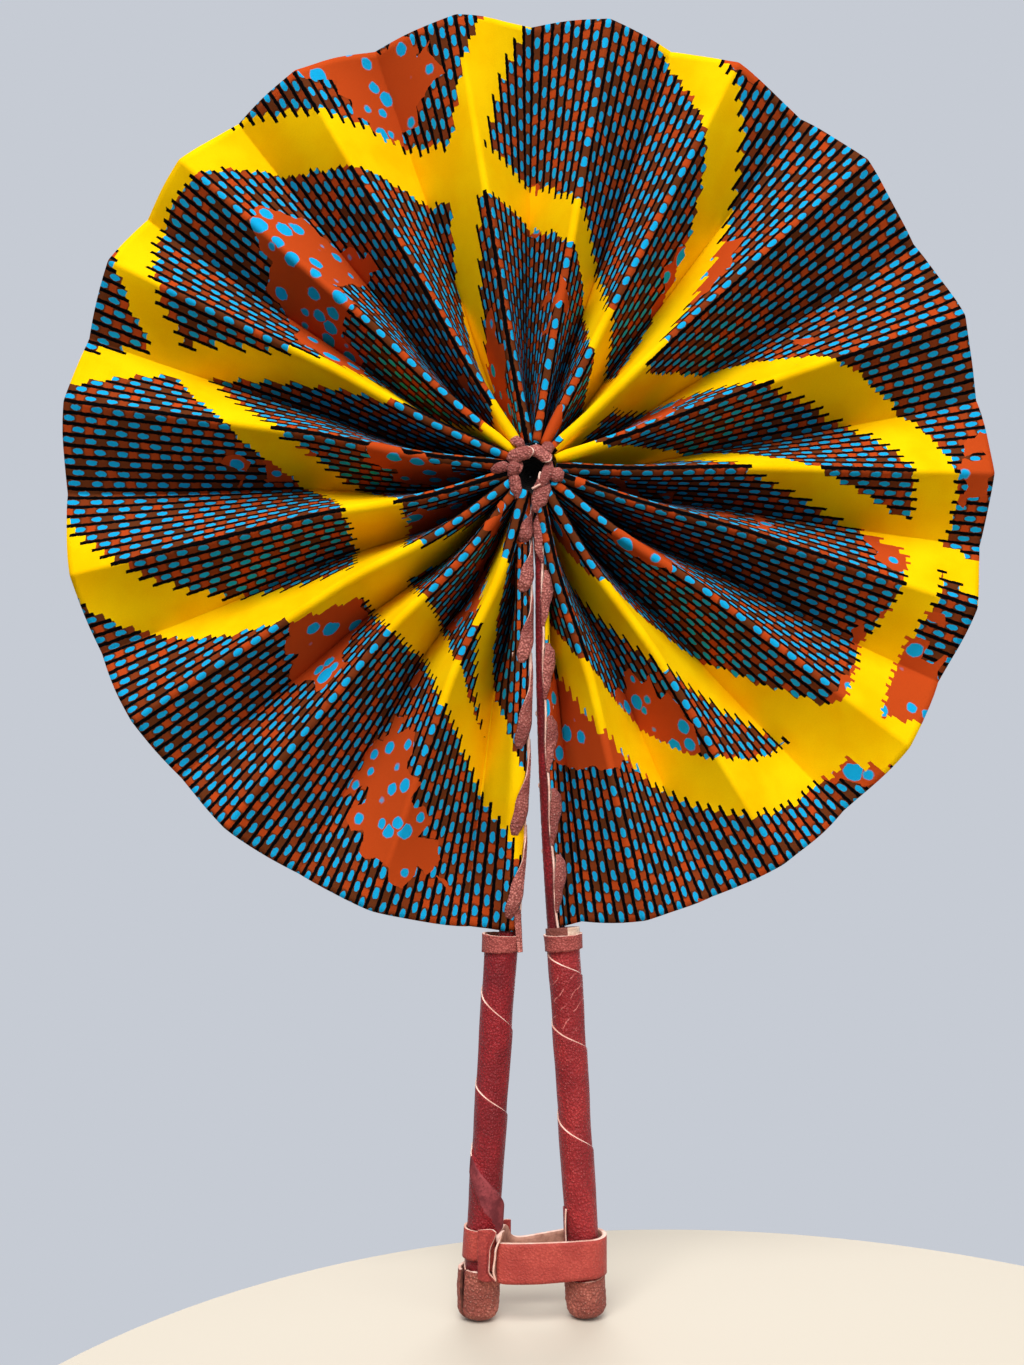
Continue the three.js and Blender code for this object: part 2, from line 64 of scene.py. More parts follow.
# The camera. It stands below the eye of the fan and a little to the left, and looks slightly up,
# with the field of view of the photograph.
fold_joint = next(joint for joint in frame["joints"] if joint["name"] == "fan_fold")
eye = Vector(fold_joint["pos_m"])
camera_from_eye = Vector((-0.029, -0.537, -0.113))
camera_pitch = radians(3.24)
camera_yaw = radians(2.27)
photo_height = 1365
focal_pixels = 1400
long_side_of_film = 36.0

camera_data = bpy.data.cameras.new("photo_camera")
camera_data.sensor_width = long_side_of_film
camera_data.lens = long_side_of_film * focal_pixels / photo_height
camera = bpy.data.objects.new("photo_camera", camera_data)
camera.location = eye + camera_from_eye
camera.rotation_euler = (pi / 2 + camera_pitch, 0, -camera_yaw)
bpy.context.scene.collection.objects.link(camera)
bpy.context.scene.camera = camera
bpy.context.scene.view_settings.view_transform = "Standard"


# The two sticks. Each is a slim hardwood rod, turned round and thicker below the leaf for a grip.
# The leather hides all but the tip, so the solid keeps its shape and gets a grain along its length.
wood_stretch = (1.0, 1.0, 0.08)
wood_grain_size = 0.0012
wood_grain_depth = 0.0002


def paint(*levels):
    """A colour written as on screen, 0 to 255, as the shader wants it."""
    shares = [level / 255 for level in levels]
    return (*(s / 12.92 if s <= 0.04045 else ((s + 0.055) / 1.055) ** 2.4 for s in shares), 1.0)


def add(kind, sockets, output=0, tree=None, **settings):
    """Adds a shader node to the tree of the outputs that it takes. Its other sockets take plain
    values. Gives one of its own outputs, or all of them for None."""
    linked = [value for value in sockets.values() if isinstance(value, bpy.types.NodeSocket)]
    if tree is None:
        tree = linked[0].id_data
    made = tree.nodes.new("ShaderNode" + kind)
    for key, value in settings.items():
        setattr(made, key, value)
    for key, value in sockets.items():
        if isinstance(value, bpy.types.NodeSocket):
            tree.links.new(value, made.inputs[key])
        else:
            made.inputs[key].default_value = value
    return made.outputs if output is None else made.outputs[output]


def ramp(value, low, high, at_low=0.0, at_high=1.0):
    """A smooth step of a value from low to high."""
    sockets = {0: value, 1: low, 2: high, 3: at_low, 4: at_high}
    return add("MapRange", sockets, interpolation_type="SMOOTHSTEP")


def mixed(share, under, over):
    """Colour over laid on colour under by a share."""
    return add("Mix", {0: share, 6: under, 7: over}, 2, data_type="RGBA")


def noise_at(place, size, detail=3.0, output=0):
    """Soft noise with features of a size, in the units of the place."""
    sockets = {"Vector": place, "Scale": 1.0 / size, "Detail": detail}
    return add("TexNoise", sockets, output)


def on_object(material):
    return add("TexCoord", {}, "Object", material.node_tree)


def new_finish(name, roughness, sheen=0.0, specular=0.25):
    """A material still to be coloured."""
    material = bpy.data.materials.new(name)
    material.use_nodes = True
    shader = material.node_tree.nodes["Principled BSDF"].inputs
    shader["Roughness"].default_value = roughness
    shader["Sheen Weight"].default_value = sheen
    shader["Specular IOR Level"].default_value = specular
    return material


def coat(tone, height, strength, depth, gloss=None):
    """Gives a finish its colour, its relief from a height, and its roughness where that varies."""
    tree = tone.id_data
    shader = tree.nodes["Principled BSDF"].inputs
    bump = add("Bump", {"Strength": strength, "Distance": depth, "Height": height})
    tree.links.new(tone, shader["Base Color"])
    tree.links.new(bump, shader["Normal"])
    if gloss is not None:
        tree.links.new(gloss, shader["Roughness"])


wood = new_finish("stick_wood", 0.7)
stretched = add("Mapping", {"Vector": on_object(wood), "Scale": wood_stretch})
grain = noise_at(stretched, wood_grain_size, 6.0)
tone = mixed(ramp(grain, 0.35, 0.65), paint(150, 104, 62), paint(206, 164, 112))
coat(tone, grain, 0.4, wood_grain_depth)
for side_name in ("left", "right"):
    for material_slot in frame["nodes"][f"{side_name}_stick"].material_slots:
        material_slot.material = wood


# The shank covers. Thin dark red goatskin is glued round the slim bowed part of each stick, inside
# the leaf, with its long edge lapped at the back. Bending has left fine creases across it.
sides = {"left": -1, "right": 1}
splay = radians(3.55)
stick_offset = 0.0006
stick_tip = 0.022
grip_start = 0.181
shank_start = 0.026
shank_end = grip_start - 0.0003
shank_tip_radius = 0.00205
shank_foot_radius = 0.0034
shank_tip_set_out = 0.0017
shank_foot_set_in = 0.0022
shank_bow = 0.0018
shank_thickness = 0.0006
shank_lap = 0.00025
crease_height = 0.00012
creases_per_metre = 700


def lerp(start, end, share):
    return start + (end - start) * share


def clamp(share):
    return max(0.0, min(1.0, share))


def smooth(share):
    """An eased share, flat at both ends."""
    share = clamp(share)
    return share * share * (3 - 2 * share)


def waver(*place):
    """Soft noise from -1 to 1 at a place of three numbers."""
    return noise.noise(Vector(place))


def beside_stick(side, out, forward, along):
    """A point by a stick: out from its own line, forward of it, and along it from the eye."""
    return eye + Vector((
        side * (stick_offset + out * cos(splay) + along * sin(splay)),
        -forward,
        out * sin(splay) - along * cos(splay),
    ))


def shank_set_in(along):
    """How far the bowed shank lies inside the line of its grip."""
    share = clamp((along - stick_tip) / (grip_start - stick_tip))
    straight = lerp(-shank_tip_set_out, shank_foot_set_in, share)
    return straight + 4 * shank_bow * share * (1 - share)


def on_shank(side, turn, lift, along):
    """A point over the shank: turn from its front towards the outside, lift above its leather."""
    share = (along - shank_start) / (grip_start - shank_start)
    reach = lerp(shank_tip_radius, shank_foot_radius, share) + lift
    out = reach * sin(turn) - shank_set_in(along)
    return beside_stick(side, out, reach * cos(turn), along)


def faces_of(verts):
    return {face for vert in verts for face in vert.link_faces}


def bend_grid(bm, shape, columns, rows, slot=0):
    """Adds a grid and bends it. shape(x, y) takes the place across and up it, from 0 to 1."""
    made = bmesh.ops.create_grid(bm, x_segments=columns, y_segments=rows, size=0.5)["verts"]
    flat = {vert: (vert.co.x + 0.5, vert.co.y + 0.5) for vert in made}
    for vert, (x, y) in flat.items():
        vert.co = shape(x, y)
    for face in faces_of(made):
        face.material_index = slot
        face.smooth = True
    return flat


def made_piece(bm, name, materials, turn_out=False):
    """A finished object from a bmesh, with its doubles merged."""
    bmesh.ops.remove_doubles(bm, verts=bm.verts, dist=1e-6)
    if turn_out:
        bmesh.ops.recalc_face_normals(bm, faces=bm.faces)
    mesh = bpy.data.meshes.new(name)
    bm.to_mesh(mesh)
    bm.free()
    for material in materials:
        mesh.materials.append(material)
    piece = bpy.data.objects.new(name, mesh)
    bpy.context.scene.collection.objects.link(piece)
    return piece


def thicken(piece, thickness, offset, inner_slot=0, edge_slot=0, weights=None):
    """Gives a bent sheet its thickness, with slots for its inner face and its cut edge. The weights
    of its vertices, where it has them, thin it."""
    wall = piece.modifiers.new("thickness", "SOLIDIFY")
    wall.thickness = thickness
    wall.offset = offset
    wall.material_offset = inner_slot
    wall.material_offset_rim = edge_slot
    if weights:
        piece.vertex_groups.new(name=weights)
        wall.vertex_group = weights


def calc(operation, *values):
    """One sum on numbers or outputs."""
    return add("Math", dict(enumerate(values)), operation=operation)


def times(level, factor, plus=0.0):
    return calc("MULTIPLY_ADD", level, factor, plus)


def leather(name, colour, shade, rub_and_highlight, cell, depth, roughness, contrast=1.0):
    """Grained leather: a pebbled skin with darker and lighter places. The hollows between the
    pebbles are painted darker, partly its pitted grain and partly a painted shade, and the pebble
    tops are painted paler, partly wear from rubbing and partly a painted highlight. cell is the
    size of its pebbles and depth how far they stand up."""
    material = new_finish(name, roughness, sheen=0.05)
    cloud_size = 0.011
    place = on_object(material)
    sway = noise_at(place, 6 * cell, 2.0, "Color")
    swayed = add("Mix", {0: 0.0012, 4: place, 5: sway}, 1, data_type="VECTOR")
    cells = add("TexVoronoi", {"Vector": swayed, "Scale": 1 / cell})
    fine = noise_at(place, cell * 0.45, 4.0)
    clouds = ramp(noise_at(place, cloud_size, 4.0), 0.34, 0.66)
    skin = mixed(clouds, paint(*shade), paint(*colour))
    # the hollows between the pebbles painted darker: the pitted grain and a painted shade
    pores_and_hollow_shade = ramp(cells, 0.3, 0.7, 0.0, 0.8 * contrast)
    skin = mixed(pores_and_hollow_shade, skin, paint(*shade))
    # the pebble tops painted paler: wear from rubbing and a painted highlight
    worn = ramp(fine, 0.4, 0.62, 0.0, 0.75 * contrast)
    rubbed_and_highlit = times(ramp(cells, 0.3, 0.05), worn)
    skin = mixed(rubbed_and_highlit, skin, paint(*rub_and_highlight))
    gloss = ramp(fine, 0.3, 0.7, roughness - 0.08, roughness + 0.12)
    height = times(cells, -0.8, times(fine, 0.5))
    coat(skin, height, 1.0, depth, gloss)
    return material


dark_red_skin = leather(
    "shank_goatskin", (140, 20, 26), (92, 8, 14), (172, 52, 54), 0.0009, 0.0003, 0.45)
for side_name, side in sides.items():
    def shank_skin(x, y):
        turn = 2 * pi * x
        along = lerp(shank_start, shank_end, y)
        lap = shank_lap * (1 - smooth(x / 0.5))
        crease = crease_height * waver(2 * cos(turn), 2 * sin(turn), along * creases_per_metre)
        return on_shank(side, pi + turn, lap + crease, along)

    bm = bmesh.new()
    bend_grid(bm, shank_skin, columns=28, rows=150)
    shank = made_piece(bm, f"{side_name}_shank_cover", [dark_red_skin], turn_out=True)
    thicken(shank, shank_thickness, -1.0)
    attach(shank, f"{side_name}_handle")
    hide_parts(f"{side_name}_shank_wrap")


# The grip covers. A strip of crimson leather is wound down each grip, each turn lapping the one
# above it, so that a pale cut edge runs round in a slow spiral. The left one ends in a suede flap.
grip_radius = 0.0062
grip_end = 0.3192
grip_thickness = 0.0004
grip_slack = 0.00018
# the seam along the grip at each half turn, by turns at its left and its right
seams = {
    "left": (0.1325, 0.1465, 0.1665, 0.1807, 0.2006, 0.2148, 0.2347, 0.2460,
             0.2587, 0.2797, 0.3015, 0.3158, 0.336, 0.350, 0.370),
    "right": (0.1265, 0.1375, 0.1566, 0.1665, 0.1856, 0.1949, 0.2120, 0.2225,
              0.2474, 0.2600, 0.2935, 0.3070, 0.325, 0.341, 0.357),
}
grip_turns = 6
rows_per_turn = 40
seam_rows = 2
grip_rows = grip_turns * rows_per_turn
seam_width = 0.00035
lap_rise = 0.00042
flap_seam = 4
flap_share = 0.62
flap_at_left = 0.0065
flap_at_right = 0.0165
flap_tear = 0.0014
flap_easing = 0.0012
flap_rise = 0.0006
pale_flap_share = 0.06
pale_slot, flap_slot = 1, 2
scuff_along = 0.2035
scuff_reach = 0.013
scuff_pitch = 0.0042
scuff_slant = (0.8, 0.0, -0.6)
loose_from, loose_to = 0.2805, 0.3005
loose_turns = (148, 186)
loose_lift = 0.0003
loose_bulge = 0.0011


def suede(name, colour, shade, pile=0.0006, contrast=0.45):
    """The napped flesh side of leather: no pores, a short pile and streaks."""
    material = new_finish(name, 0.9)
    streak_size, nap_depth = 0.0045, 0.00025
    place = on_object(material)
    nap = noise_at(place, pile, 6.0)
    streaks = ramp(noise_at(place, streak_size, 5.0), 0.35, 0.65)
    tone = mixed(streaks, paint(*shade), paint(*colour))
    tone = mixed(ramp(nap, 0.5, 0.8, 0.0, contrast), tone, paint(*shade))
    coat(tone, nap, 0.8, nap_depth)
    return material


def vector_calc(operation, *values, output=0):
    """One sum on vectors."""
    return add("VectorMath", dict(enumerate(values)), output, operation=operation)


def scuff(material, middle, colour):
    """Scratches a few slanting pale lines into a leather about a middle."""
    tree = material.node_tree
    base = tree.nodes["Principled BSDF"].inputs["Base Color"]
    skin = base.links[0].from_socket
    place = on_object(material)
    away = vector_calc("SUBTRACT", place, tuple(middle))
    across = vector_calc("DOT_PRODUCT", away, scuff_slant, output="Value")
    stray = noise_at(place, 0.006, 2.0)
    line = times(stray, 0.7, calc("DIVIDE", across, scuff_pitch))
    line = calc("SUBTRACT", calc("FRACT", line), 0.5)
    line = ramp(calc("ABSOLUTE", line), 0.03, 0.06, 0.65, 0.0)
    distance = vector_calc("LENGTH", away, output="Value")
    near = ramp(distance, scuff_reach * 0.6, scuff_reach, 1.0, 0.0)
    broken = ramp(noise_at(place, 0.0035, 2.0), 0.42, 0.55)
    share = times(times(line, near), broken)
    tree.links.new(mixed(share, skin, paint(*colour)), base)


def round_stick(side, turn, reach, along):
    """A point round a stick: turn from its outer side towards the front."""
    return beside_stick(side, reach * cos(turn), reach * sin(turn), along)


def flap_reach(x):
    """How far the torn flap hangs below its seam, x of a turn after the left side."""
    return lerp(flap_at_left, flap_at_right, 2 * x) + flap_tear * waver(x * 9, 0.4, 0.7)


def mean_x(face, flat):
    return sum(flat[vert][0] for vert in face.verts) / len(face.verts)


cut_edge = suede("leather_cut_edge", (244, 208, 192), (218, 166, 148))
grip_skins = {
    "left": leather(
        "left_grip_skin", (149, 24, 32), (114, 12, 21), (206, 92, 92),
        0.00095, 0.0006, 0.42, 0.75),
    "right": leather(
        "right_grip_skin", (168, 43, 44), (132, 24, 29), (228, 134, 128),
        0.00095, 0.0006, 0.42, 0.85),
}
flap_suede = suede("flap_suede", (148, 64, 68), (104, 40, 45), 0.0008, 1.5)
scuff(grip_skins["right"], beside_stick(1, -0.001, grip_radius, scuff_along), (226, 132, 124))
for side_name, side in sides.items():
    def seam_along(number, x):
        """Where seam number lies along the grip, x of a turn after the left side."""
        left, right, next_left = seams[side_name][2 * number:2 * number + 3]
        return lerp(left, right, 2 * x) if x < 0.5 else lerp(right, next_left, 2 * x - 1)

    def spiral(x, y):
        """Rows run along the spiral, so that the cut edge lies on a row."""
        number, step = divmod(round(y * grip_rows), rows_per_turn)
        if number == grip_turns:
            number, step = grip_turns - 1, rows_per_turn
        above, below = seam_along(number, x), seam_along(number + 1, x)
        inside = max(0, step - seam_rows) / (rows_per_turn - seam_rows)
        rise = clamp(step / seam_rows)
        along = lerp(above + seam_width * rise, below, inside)
        lift = lap_rise * (rise * (1 - smooth(inside * 1.1)) - 0.35)
        if side < 0 and number == flap_seam and x < flap_share:
            hanging = 1 - smooth((along - above - flap_reach(x)) / flap_easing)
            lift += flap_rise * (1 + x) * smooth(x / 0.05) * hanging
        lift += grip_slack * waver(2 * sin(2 * pi * x), along * 90, side)
        turn = 2 * pi * x if side < 0 else pi - 2 * pi * x
        return round_stick(side, turn, grip_radius + lift, along)

    bm = bmesh.new()
    flat = bend_grid(bm, spiral, columns=64, rows=grip_rows)
    bmesh.ops.reverse_faces(bm, faces=bm.faces)
    for face in bm.faces:
        row = min(round(flat[vert][1] * grip_rows) for vert in face.verts)
        number, step = divmod(row, rows_per_turn)
        x = mean_x(face, flat)
        on_flap = side_name == "left" and number == flap_seam and x < flap_share
        if step < seam_rows:
            face.material_index = flap_slot if on_flap and x > pale_flap_share else pale_slot
        elif on_flap:
            turn_height = seam_along(number + 1, x) - seam_along(number, x)
            if step / rows_per_turn * turn_height < flap_reach(x):
                face.material_index = flap_slot
    down_stick = beside_stick(side, 0, 0, 1) - beside_stick(side, 0, 0, 0)
    for end, past in ((grip_start, "clear_inner"), (grip_end, "clear_outer")):
        whole = [*bm.verts, *bm.edges, *bm.faces]
        middle = beside_stick(side, 0, 0, end)
        bmesh.ops.bisect_plane(bm, geom=whole, plane_co=middle, plane_no=down_stick, **{past: True})
    if side_name == "right":
        def loose_edge(x, y):
            """The end of the wound strip, which stands off the inner side just above the strap."""
            away = grip_radius + loose_lift + loose_bulge * sin(pi * y) ** 0.7 * (1 - x)
            turn = radians(lerp(*loose_turns, x))
            return round_stick(side, turn, away, lerp(loose_from, loose_to, y))

        loose = bend_grid(bm, loose_edge, columns=8, rows=22)
        for face in faces_of(loose):
            if min(loose[vert][0] for vert in face.verts) < 0.01:
                face.material_index = pale_slot
    grip = made_piece(bm, f"{side_name}_grip_cover", [grip_skins[side_name], cut_edge, flap_suede])
    thicken(grip, grip_thickness, -1.0)
    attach(grip, f"{side_name}_handle")
    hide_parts(f"{side_name}_grip_wrap")


# The cuffs. A short band of terracotta leather is wrapped round the top of each grip and glued,
# its lower edge cut askew and its upper edge left raw and pale. The right one is lined above.
cuff_top = 0.1788
cuff_heights = {"left": (0.0056, 0.0070), "right": (0.0060, 0.0056)}
cuff_inner = 0.00642
cuff_thickness = 0.0008
cuff_flare = 0.00025
cuff_dents = 0.00012
cuff_ragged = 0.0002
lining_top = 0.1764
lining_foot = cuff_top + 0.002
lining_askew = 0.0006
lining_radius = 0.00612
brown_from, brown_to = 0.21, 0.7
cream_slot, brown_slot = 3, 4
trim_skin = leather("trim_skin", (181, 88, 80), (138, 57, 51), (220, 146, 132), 0.0008, 0.0005, 0.6)
flesh_side = suede("leather_flesh_side", (196, 146, 126), (150, 104, 88))
cream_lining = suede("cream_lining", (238, 214, 194), (206, 170, 148))
brown_lining = leather(
    "brown_lining", (150, 84, 70), (112, 56, 46), (186, 122, 104), 0.0008, 0.0003, 0.62)
for side_name, side in sides.items():
    def cuff_band(x, y):
        turn = 2 * pi * x
        askew = lerp(*cuff_heights[side_name], 0.5 + 0.5 * cos(turn))
        ragged = cuff_ragged * waver(3 * cos(turn), 3 * sin(turn), 9 * y)
        flare = cuff_flare * (1 - y) ** 3 + cuff_dents * waver(cos(turn), sin(turn), y + side)
        reach = cuff_inner + cuff_thickness / 2 + flare
        return round_stick(side, turn, reach, cuff_top + askew * y + ragged)

    def lining(x, y):
        turn = 2 * pi * x
        along = lerp(lining_top - lining_askew * sin(turn), lining_foot, y)
        return round_stick(side, turn, lining_radius, along)

    bm = bmesh.new()
    bend_grid(bm, cuff_band, columns=56, rows=10)
    if side_name == "right":
        flat = bend_grid(bm, lining, columns=56, rows=6)
        for face in faces_of(flat):
            brown = brown_from < mean_x(face, flat) < brown_to
            face.material_index = brown_slot if brown else cream_slot
    cuff_skins = [trim_skin, flesh_side, cut_edge, cream_lining, brown_lining]
    cuff = made_piece(bm, f"{side_name}_grip_cuff", cuff_skins, turn_out=True)
    thicken(cuff, cuff_thickness, 0.0, inner_slot=1, edge_slot=2)
    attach(cuff, f"{side_name}_handle")
    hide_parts(f"{side_name}_cuff")


# The foot caps. Wet leather is drawn over the foot of each stick like a thimble and lapped at one
# side, which leaves it wrinkled at the rounded bottom, with a raw pale top edge under the strap.
cap_radius = 0.0076
cap_tops = {"left": 0.3026, "right": 0.3065}
stick_end = 0.321
cap_wall = 0.00115
cap_rounding = 0.0044
cap_lap = {"left": 0.0017, "right": 0.001}
cap_lap_turn = {"left": radians(36), "right": radians(250)}
cap_dents = 0.00024
cap_small_dents = 0.00012
cap_wrinkles = 0.00007
lap_slot = 3
cap_skin = leather("cap_skin", (203, 116, 98), (142, 70, 58), (246, 196, 176), 0.00095, 0.0011, 0.6)
# a dark flesh side for the cut edge at the lap seam: a painted shade of the slit there
lap_edge_shade = suede("lap_edge_painted_shade", (112, 66, 54), (70, 38, 32))
for side_name, side in sides.items():
    def thimble(x, y):
        """y runs down the side, round the edge, and in to the middle of the foot."""
        turn = cap_lap_turn[side_name] + 2 * pi * x
        straight = stick_end - cap_rounding - cap_tops[side_name]
        bend = cap_rounding * pi / 2
        way = y * (straight + bend + cap_radius - cap_rounding)
        if way < straight:
            reach, along = cap_radius, cap_tops[side_name] + way
        elif way < straight + bend:
            angle = (way - straight) / cap_rounding
            reach = cap_radius - cap_rounding * (1 - cos(angle))
            along = stick_end - cap_rounding * (1 - sin(angle))
        else:
            reach, along = cap_radius - cap_rounding - (way - straight - bend), stick_end
        reach = max(reach, 0.0)
        around = Vector((2.2 * cos(turn), 2.2 * sin(turn), along * 260 + 7 * side))
        dent = noise.noise(around)
        wrinkle = sin(along * 2600 + 3 * sin(turn) + 5 * dent)
        crumple = dent * cap_dents + noise.noise(around * 2.7) * cap_small_dents
        crumple += wrinkle * cap_wrinkles
        edge = cap_lap[side_name] * smooth(x * 5 - 4) * clamp(1.4 - 1.6 * y)
        reach += (crumple + edge) * clamp(reach / 0.004)
        return round_stick(side, turn, reach, min(along, stick_end))

    bm = bmesh.new()
    flat = bend_grid(bm, thimble, columns=72, rows=44)
    for face in bm.faces:
        if any(flat[vert][0] < 0.01 or flat[vert][0] > 0.99 for vert in face.verts):
            face.material_index = lap_slot
    # slot 3 is the skin at the lap, whose cut edge is painted dark as the shade in the slit
    cap_skins = [cap_skin, flesh_side, cut_edge, cap_skin, flesh_side, lap_edge_shade]
    cap = made_piece(bm, f"{side_name}_foot_cap", cap_skins, turn_out=True)
    thicken(cap, cap_wall, -1.0, inner_slot=1, edge_slot=2)
    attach(cap, f"{side_name}_handle")
    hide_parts(f"{side_name}_end_cap")


# The leaf. One long strip of printed cotton, doubled, is folded like an accordion and opened
# through nearly a full turn. Its ends turn over the front of the two shanks. It is made as two
# halves, which meet in the valley fold at the top.
leaf_radius = 0.18
eye_radius = 0.0095
strip_width = leaf_radius - eye_radius
pleats = 18
middle_fold = pleats
rim_depth = 0.012
front_depth = rim_depth / 2
crest_rounding = 0.0018
crest_share_of_panel = 0.62
end_valley_at_eye = 0.0034
end_valley_pressed = -0.0002
end_valley_at_rim = {-1: 0.014, 1: 0.008}
pressed_until, opening_reach = 0.03, 0.06
hem_inner_turn = {-1: radians(-78), 1: radians(8)}
hem_outer_turn = radians(65)
hem_lift = 0.0005
hem_pucker = 0.00025
end_swell = 0.0008
rim_trim_at_ends = {-1: 0.0022, 1: 0.0042}
trimmed_share = 0.025
rim_ragged = 0.0007
cloth_thickness = 0.0006
bunched_thickness = 0.0014
bunched_reach = 0.016
panel_sag = 0.0011
fold_stray = 0.0006
places_from_crest = (
    0.0, 0.012, 0.026, 0.042, 0.06, 0.08, 0.11, 0.2, 0.35, 0.5, 0.65, 0.8, 0.92, 0.98, 1.0)
places_to_crest = [1 - place for place in reversed(places_from_crest)]
hem_columns = 10
end_columns = hem_columns + 10
hem_share = hem_columns / end_columns
leaf_rows = 76
bake_margin = 0.005

# fold lines as shares of the strip: valleys even, mountains odd, off an even pitch by hand
mountains = []
for number in range(pleats):
    share = (number + 0.5) / pleats
    stray = 0.12 * sin(3 * pi * share) + 0.1 * sin(9 * pi * share)
    mountains.append(share + stray / pleats)
folds = [0.0]
for mountain, following in zip(mountains, [*mountains[1:], None]):
    folds += [mountain, 1.0 if following is None else (mountain + following) / 2]


def end_valley(side, radius):
    """How far outside its stick the last valley lies. Near the eye the two ends press together."""
    inner_share = (radius - eye_radius) / strip_width
    open_valley = lerp(end_valley_at_eye, end_valley_at_rim[side], inner_share)
    return lerp(end_valley_pressed, open_valley, smooth((radius - pressed_until) / opening_reach))


def end_offset(side, radius):
    return stick_offset * cos(splay) + end_valley(side, radius)


def fold_angle(share, radius):
    """Angle of a fold from the top of the leaf, clockwise as seen from the front."""
    ends = [side * (pi - splay - asin(end_offset(side, radius) / radius)) for side in (-1, 1)]
    return lerp(*ends, share)


def panel_arc(panel, radius):
    return radius * (fold_angle(folds[panel + 1], radius) - fold_angle(folds[panel], radius))


panel_widths = [hypot(panel_arc(panel, leaf_radius), rim_depth) for panel in range(2 * pleats)]
half_lengths = {-1: sum(panel_widths[:middle_fold]), 1: sum(panel_widths[middle_fold:])}
panel_starts = [sum(panel_widths[:panel]) - half_lengths[-1] for panel in range(2 * pleats)]


def valley_drop(fold, radius):
    """How far a valley lies behind the crests. It deepens towards the eye."""
    drops = []
    for panel in (max(fold - 1, 0), min(fold, 2 * pleats - 1)):
        drops.append(sqrt(panel_widths[panel] ** 2 - panel_arc(panel, radius) ** 2))
    return sum(drops) / 2


def fold_wander(fold, inner_share):
    """How far a fold strays to the front or back on its way to the rim."""
    return fold_stray * waver(fold * 3.7, inner_share * 2.6, 4.4) * smooth(inner_share * 2)


def wall_slope(width, arc, rounding):
    """The slope of a fold's wall that lets a panel with a rounded crest span its arc."""
    low, high = 0.0, pi / 2
    for _ in range(22):
        slope = (low + high) / 2
        run = rounding * sin(slope) + (width - rounding * slope) * cos(slope)
        low, high = (slope, high) if run > arc else (low, slope)
    return slope


def panel_point(panel, share, inner_share):
    """A point of one panel and its share of the whole turn: a rounded crest, a flat wall and a
    sharp valley, with the slight slack of real cloth. inner_share runs from the eye to the rim."""
    from_crest = share if panel % 2 else 1 - share
    crest, valley = (panel, panel + 1) if panel % 2 else (panel + 1, panel)
    flat_share = lerp(folds[panel], folds[panel + 1], share)
    trim = rim_trim_at_ends[-1] * exp(-flat_share / trimmed_share)
    trim += rim_trim_at_ends[1] * exp((flat_share - 1) / trimmed_share)
    rim = leaf_radius - trim + rim_ragged * waver(flat_share * 50, 1.7, 0.2)
    radius = lerp(eye_radius, rim, inner_share)
    width, arc = panel_widths[panel], panel_arc(panel, radius)
    rounding = min(crest_rounding, crest_share_of_panel * arc)
    slope = wall_slope(width, arc, rounding)
    on_crest = min(from_crest * width, rounding * slope)
    on_wall = from_crest * width - on_crest
    run = rounding * sin(on_crest / rounding) + on_wall * cos(slope)
    drop = rounding * (1 - cos(on_crest / rounding)) + on_wall * sin(slope)
    full_drop = rounding * (1 - cos(slope)) + (width - rounding * slope) * sin(slope)
    drop *= valley_drop(valley, radius) / full_drop
    turn_share = lerp(folds[crest], folds[valley], clamp(run / arc))
    slack = panel_sag * sin(pi * from_crest) * smooth(inner_share * 2.5)
    slack *= waver(panel * 5.3, inner_share * 2.4, from_crest * 1.5)
    stray = lerp(fold_wander(crest, inner_share), fold_wander(valley, inner_share), from_crest)
    angle = fold_angle(turn_share, radius)
    depth = drop - front_depth + slack + stray
    return eye + Vector((radius * sin(angle), depth, radius * cos(angle))), turn_share


def end_point(side, share, inner_share):
    """A point of the cloth's end: the hem over the shank, then the flat panel to the valley."""
    way = clamp((share - hem_share) / (1 - hem_share))
    radius = lerp(eye_radius, leaf_radius - rim_trim_at_ends[side], inner_share)
    along = sqrt(radius ** 2 - end_offset(side, radius) ** 2) - stick_offset * sin(splay)
    if share < hem_share:
        turn = lerp(hem_inner_turn[side], hem_outer_turn, share / hem_share)
        pucker = hem_pucker * waver(share * 6, along * 90, side)
        return on_shank(side, turn, hem_lift + pucker, along)
    leaving = on_shank(side, hem_outer_turn, hem_lift, along)
    fold = 0 if side < 0 else 2 * pleats
    behind = valley_drop(fold, radius) - front_depth + fold_wander(fold, inner_share)
    valley = beside_stick(side, end_valley(side, radius), -behind, along)
    swell = end_swell * sin(pi * way) * waver(way * 2, along * 30, side)
    return leaving.lerp(valley, way) + Vector((0, swell, 0))


def half_leaf(side):
    """The columns of one half, left to right: a panel and a share of it, or a share of the end."""
    first, last = (0, middle_fold) if side < 0 else (middle_fold, 2 * pleats)
    columns = []
    for panel in range(first, last):
        shares = places_from_crest if panel % 2 else places_to_crest
        columns += [(panel, share) for share in shares[:-1]]
    columns.append((last - 1, 1.0))
    end_places = [("end", number / end_columns) for number in range(end_columns)]
    return end_places + columns if side < 0 else columns + end_places[::-1]


def end_width(side):
    points = [end_point(side, number / end_columns, 1.0) for number in range(end_columns + 1)]
    return sum((b - a).length for a, b in zip(points, points[1:]))


